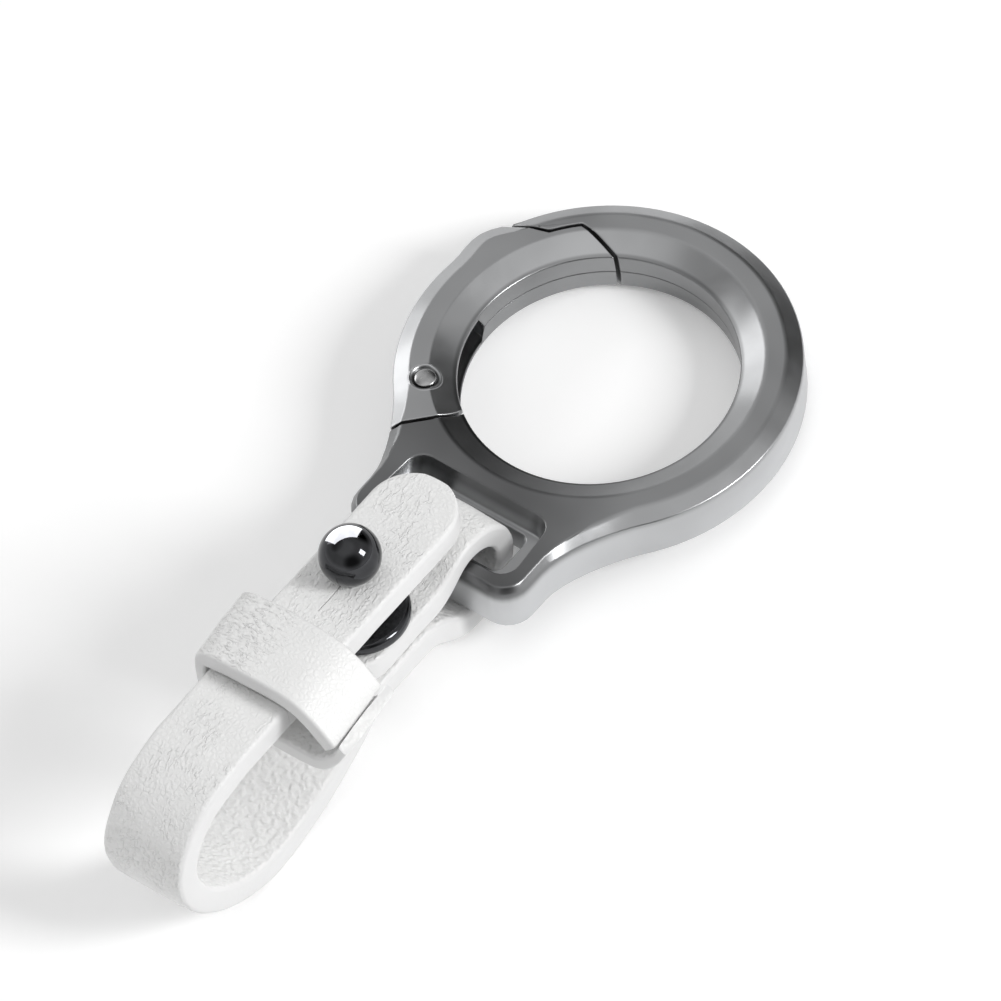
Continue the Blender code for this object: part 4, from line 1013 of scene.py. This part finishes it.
class KEYCHAIN_OT_keeper(bpy.types.Operator):
    """Make the folded keeper round the strap"""
    bl_idname = "keychain.keeper"
    bl_label = "Keeper"

    def execute(self, context):
        keeper = context.scene.keychain_keeper
        strap = context.scene.keychain_strap
        middle = keeper.start + keeper.width / 2
        view = (BAR_TOP + ALONG * middle, ACROSS, UP, ALONG + ACROSS * keeper.skew)
        strip = Strip(keeper.width / 2, keeper.thickness / 2, 0.0004, strap.crown, 24, view)
        strip.sweep(keeper_stations(keeper, strap))
        strip.wave(WAVE_DEPTH, 300.0, 7.7)
        mesh = to_mesh(strip.bm, "keeper_leather_band", math.radians(50.0))
        surface = leather("keeper_skin", strap, True)
        finished("keeper_band", mesh, "keeper", surface, "keeper_leather", "keeper_loop")
        return {'FINISHED'}


class KEYCHAIN_OT_stud(bpy.types.Operator):
    """Make the ball stud with its neck, flange and barrel"""
    bl_idname = "keychain.stud"
    bl_label = "Ball stud"

    def execute(self, context):
        sizes = context.scene.keychain_stud
        strap = context.scene.keychain_strap
        low = strap.end_level + strap.thickness / 2 + FLANGE_SEAT
        high = low + sizes.flange_thickness
        bore_top = low - BORE_STOP
        barrel_foot = strap.under_level - strap.thickness / 2 + BARREL_REST
        ball_level = strap.top_level + strap.thickness / 2 - BALL_SINK + sizes.ball
        rim = 0.0006
        points = [
            (0.0, bore_top), (sizes.bore, bore_top), (sizes.bore, barrel_foot),
            (sizes.barrel, barrel_foot), (sizes.barrel, low), (sizes.flange - rim, low),
        ]
        points += arc(rim, -math.pi / 2, 0.0, 7, (sizes.flange - rim, low + rim))[1:]
        points += arc(rim, 0.0, math.pi / 2, 7, (sizes.flange - rim, high - rim))
        points += [(sizes.neck + NECK_FILLET, high), (sizes.neck, high + NECK_FILLET)]
        first = math.asin(sizes.neck / sizes.ball) - math.pi / 2
        ball = arc(sizes.ball, first, math.pi / 2, 40, (0.0, ball_level))
        points += ball[:-1] + [(0.0, ball[-1][1])]
        mesh = lathe("ball_stud", points, 112, stud_place(strap))
        surface = polish("black_nickel", context.scene.keychain_metal.black, 0.045)
        finished("ball_stud", mesh, "strap", surface, "stud_metal", "stud_head")
        return {'FINISHED'}


class KEYCHAIN_OT_screw(bpy.types.Operator):
    """Make the slotted screw under the strap"""
    bl_idname = "keychain.screw"
    bl_label = "Screw"

    def execute(self, context):
        sizes = context.scene.keychain_stud
        strap = context.scene.keychain_strap
        high = strap.under_level - strap.thickness / 2 - SCREW_GAP
        low = high - SCREW_HEAD_THICKNESS
        bore_top = strap.end_level + strap.thickness / 2 + FLANGE_SEAT - BORE_STOP
        tip = bore_top - SCREW_TIP_GAP
        rim = 0.0005
        points = [(0.0, low)]
        points += arc(rim, -math.pi / 2, 0.0, 8, (sizes.screw_head - rim, low + rim))
        points += [
            (sizes.screw_head, high), (sizes.screw_shank, high),
            (sizes.screw_shank, tip - SCREW_CHAMFER), (sizes.screw_shank - SCREW_CHAMFER, tip),
            (0.0, tip),
        ]
        mesh = lathe("slotted_screw", points, 96, stud_place(strap))
        half = sizes.slot_width / 2
        reach = sizes.screw_head * 1.2
        slot = box_mesh("screw_slot", (-reach, -strap.stud - half, low - 0.001),
                        (reach, -strap.stud + half, low + SLOT_DEPTH))
        mesh = cut_by(mesh, [slot])
        surface = polish("screw_nickel", context.scene.keychain_metal.black, 0.12)
        finished("slotted_screw", mesh, "strap", surface, "screw_metal", "stud_screw")
        return {'FINISHED'}


def heading(turn, height):
    """A direction seen from the ring, by its turn and height in degrees."""
    turn, height = math.radians(turn), math.radians(height)
    level = ACROSS * math.cos(turn) - ALONG * math.sin(turn)
    return level * math.cos(height) + UP * math.sin(height)


def lamp(name, target, turn, height, reach, size, glow):
    """A soft panel that faces a target, by its turn and height in degrees and its glow."""
    data = bpy.data.lights.new(name, 'AREA')
    data.shape = 'RECTANGLE'
    data.size, data.size_y = size
    data.energy = glow * math.pi * size[0] * size[1]
    light = linked(name, data)
    way = heading(turn, height)
    light.location = target + way * reach
    light.rotation_euler = (-way).to_track_quat('-Z', 'Y').to_euler()
    return light


def studio_world(look):
    """A pale studio, white at the horizon, with its cards and flags as soft patches."""
    world = bpy.data.worlds.new("studio")
    bpy.context.scene.world = world
    world.use_nodes = True
    studio = Nodes(world.node_tree)
    way = studio.node("ShaderNodeTexCoord", result="Generated")
    climb = studio.dot(way, (0.0, 0.0, 1.0))
    level = studio.step(climb, 0.02, 0.35, look.horizon, look.ceiling)
    for turn, height, inner, outer, gain in PATCHES:
        facing = studio.dot(way, heading(turn, height))
        near, far = math.cos(math.radians(inner)), math.cos(math.radians(outer))
        level = level + studio.step(facing, far, near, 0.0, gain)
    studio.feed(world.node_tree.nodes["Background"].inputs["Color"], level)


def pale_floor(look):
    """The wide floor that everything stands on."""
    bm = bmesh.new()
    bmesh.ops.create_grid(bm, x_segments=2, y_segments=2, size=look.floor_half)
    surface = Surface("pale_floor", look.floor_colour)
    tone = surface.grain(surface.coords(), 3.0)
    seen = surface.ray("Is Camera Ray") + surface.ray("Is Glossy Ray")
    seen = seen + surface.ray("Is Transmission Ray")
    lift = (look.floor_lift,) * 3
    surface.set(
        Base_Color=surface.mix(tone, shade(look.floor_colour, 0.995), look.floor_colour),
        Roughness=0.9,
        Specular_IOR_Level=0.1,
        Emission_Color=surface.mix(seen, (0.0, 0.0, 0.0), lift),
        Emission_Strength=1.0,
    )
    mesh = to_mesh(bm, "floor")
    floor = linked("floor", mesh)
    mesh.materials.append(surface.material)


def photo_camera(look):
    """A camera at the photograph's angle."""
    turn = Matrix((ACROSS, -ALONG, UP)).transposed()
    right = turn @ Vector(VIEW_RIGHT)
    up = turn @ Vector(VIEW_UP)
    back = right.cross(up).normalized()
    right = up.cross(back).normalized()
    target = RING_CENTRE - right * VIEW_SHIFT[0] - up * VIEW_SHIFT[1]
    data = bpy.data.cameras.new("camera")
    data.lens = look.lens
    data.sensor_width = SENSOR_WIDTH
    distance = look.view_width * look.lens / data.sensor_width
    camera = linked("camera", data)
    camera.matrix_world = placed(right, up, back, target + back * distance)
    return camera


class KEYCHAIN_OT_stage(bpy.types.Operator):
    """Make the floor, the soft lights and the camera"""
    bl_idname = "keychain.stage"
    bl_label = "Stage"

    def execute(self, context):
        look = context.scene.keychain_stage
        pale_floor(look)
        studio_world(look)
        strap, stud = context.scene.keychain_strap, context.scene.keychain_stud
        ball = stud_place(strap) + UP * (strap.top_level + strap.thickness / 2 + stud.ball)
        centre = Vector((0.0, 0.0, 0.0))
        lamp("right_window", centre, 14.0, 36.0, 0.7, (0.18, 0.26), 20.0)
        lamp("left_panel", centre, 178.0, 25.0, 0.7, (0.36, 0.3), 2.2)
        card = lamp("ball_card", ball, 144.0, 30.0, 0.05, (0.085, 0.065), 16.0)
        stud_only = bpy.data.collections.new("lit_by_ball_card")
        stud_only.objects.link(bpy.data.objects["ball_stud"])
        card.light_linking.receiver_collection = stud_only
        context.scene.camera = photo_camera(look)
        context.scene.view_settings.view_transform = 'Standard'
        return {'FINISHED'}


class KEYCHAIN_PT_panel(bpy.types.Panel):
    """The keychain's pieces in the sidebar"""
    bl_label = "Keychain"
    bl_space_type = 'VIEW_3D'
    bl_region_type = 'UI'
    bl_category = "Keychain"

    def draw(self, context):
        for name in PIECES:
            self.layout.operator("keychain." + name)
        for key in GROUPS:
            group = getattr(context.scene, key)
            box = self.layout.box()
            for prop in group.bl_rna.properties:
                if prop.identifier not in {"rna_type", "name"}:
                    box.prop(group, prop.identifier)


PIECES = ("ring", "gate", "rivet", "spring", "strap", "tab", "keeper", "stud", "screw", "stage")

GROUPS = {
    "keychain_metal": MetalLook,
    "keychain_strap": LeatherSizes,
    "keychain_keeper": KeeperSizes,
    "keychain_stud": StudSizes,
    "keychain_spring": SpringSizes,
    "keychain_stage": StageLook,
}

CLASSES = (
    *GROUPS.values(), KEYCHAIN_OT_ring, KEYCHAIN_OT_gate, KEYCHAIN_OT_rivet, KEYCHAIN_OT_spring,
    KEYCHAIN_OT_strap, KEYCHAIN_OT_tab, KEYCHAIN_OT_keeper, KEYCHAIN_OT_stud,
    KEYCHAIN_OT_screw, KEYCHAIN_OT_stage, KEYCHAIN_PT_panel,
)


def register():
    """Adds the classes and the settings to Blender."""
    for item in CLASSES:
        bpy.utils.register_class(item)
    for key, group in GROUPS.items():
        setattr(bpy.types.Scene, key, PointerProperty(type=group))


def unregister():
    """Takes the settings and the classes out again."""
    for key in GROUPS:
        delattr(bpy.types.Scene, key)
    for item in reversed(CLASSES):
        bpy.utils.unregister_class(item)


def main():
    """Makes every piece and the stage."""
    register()
    for name in PIECES:
        getattr(bpy.ops.keychain, name)()


if __name__ == "__main__":
    main()
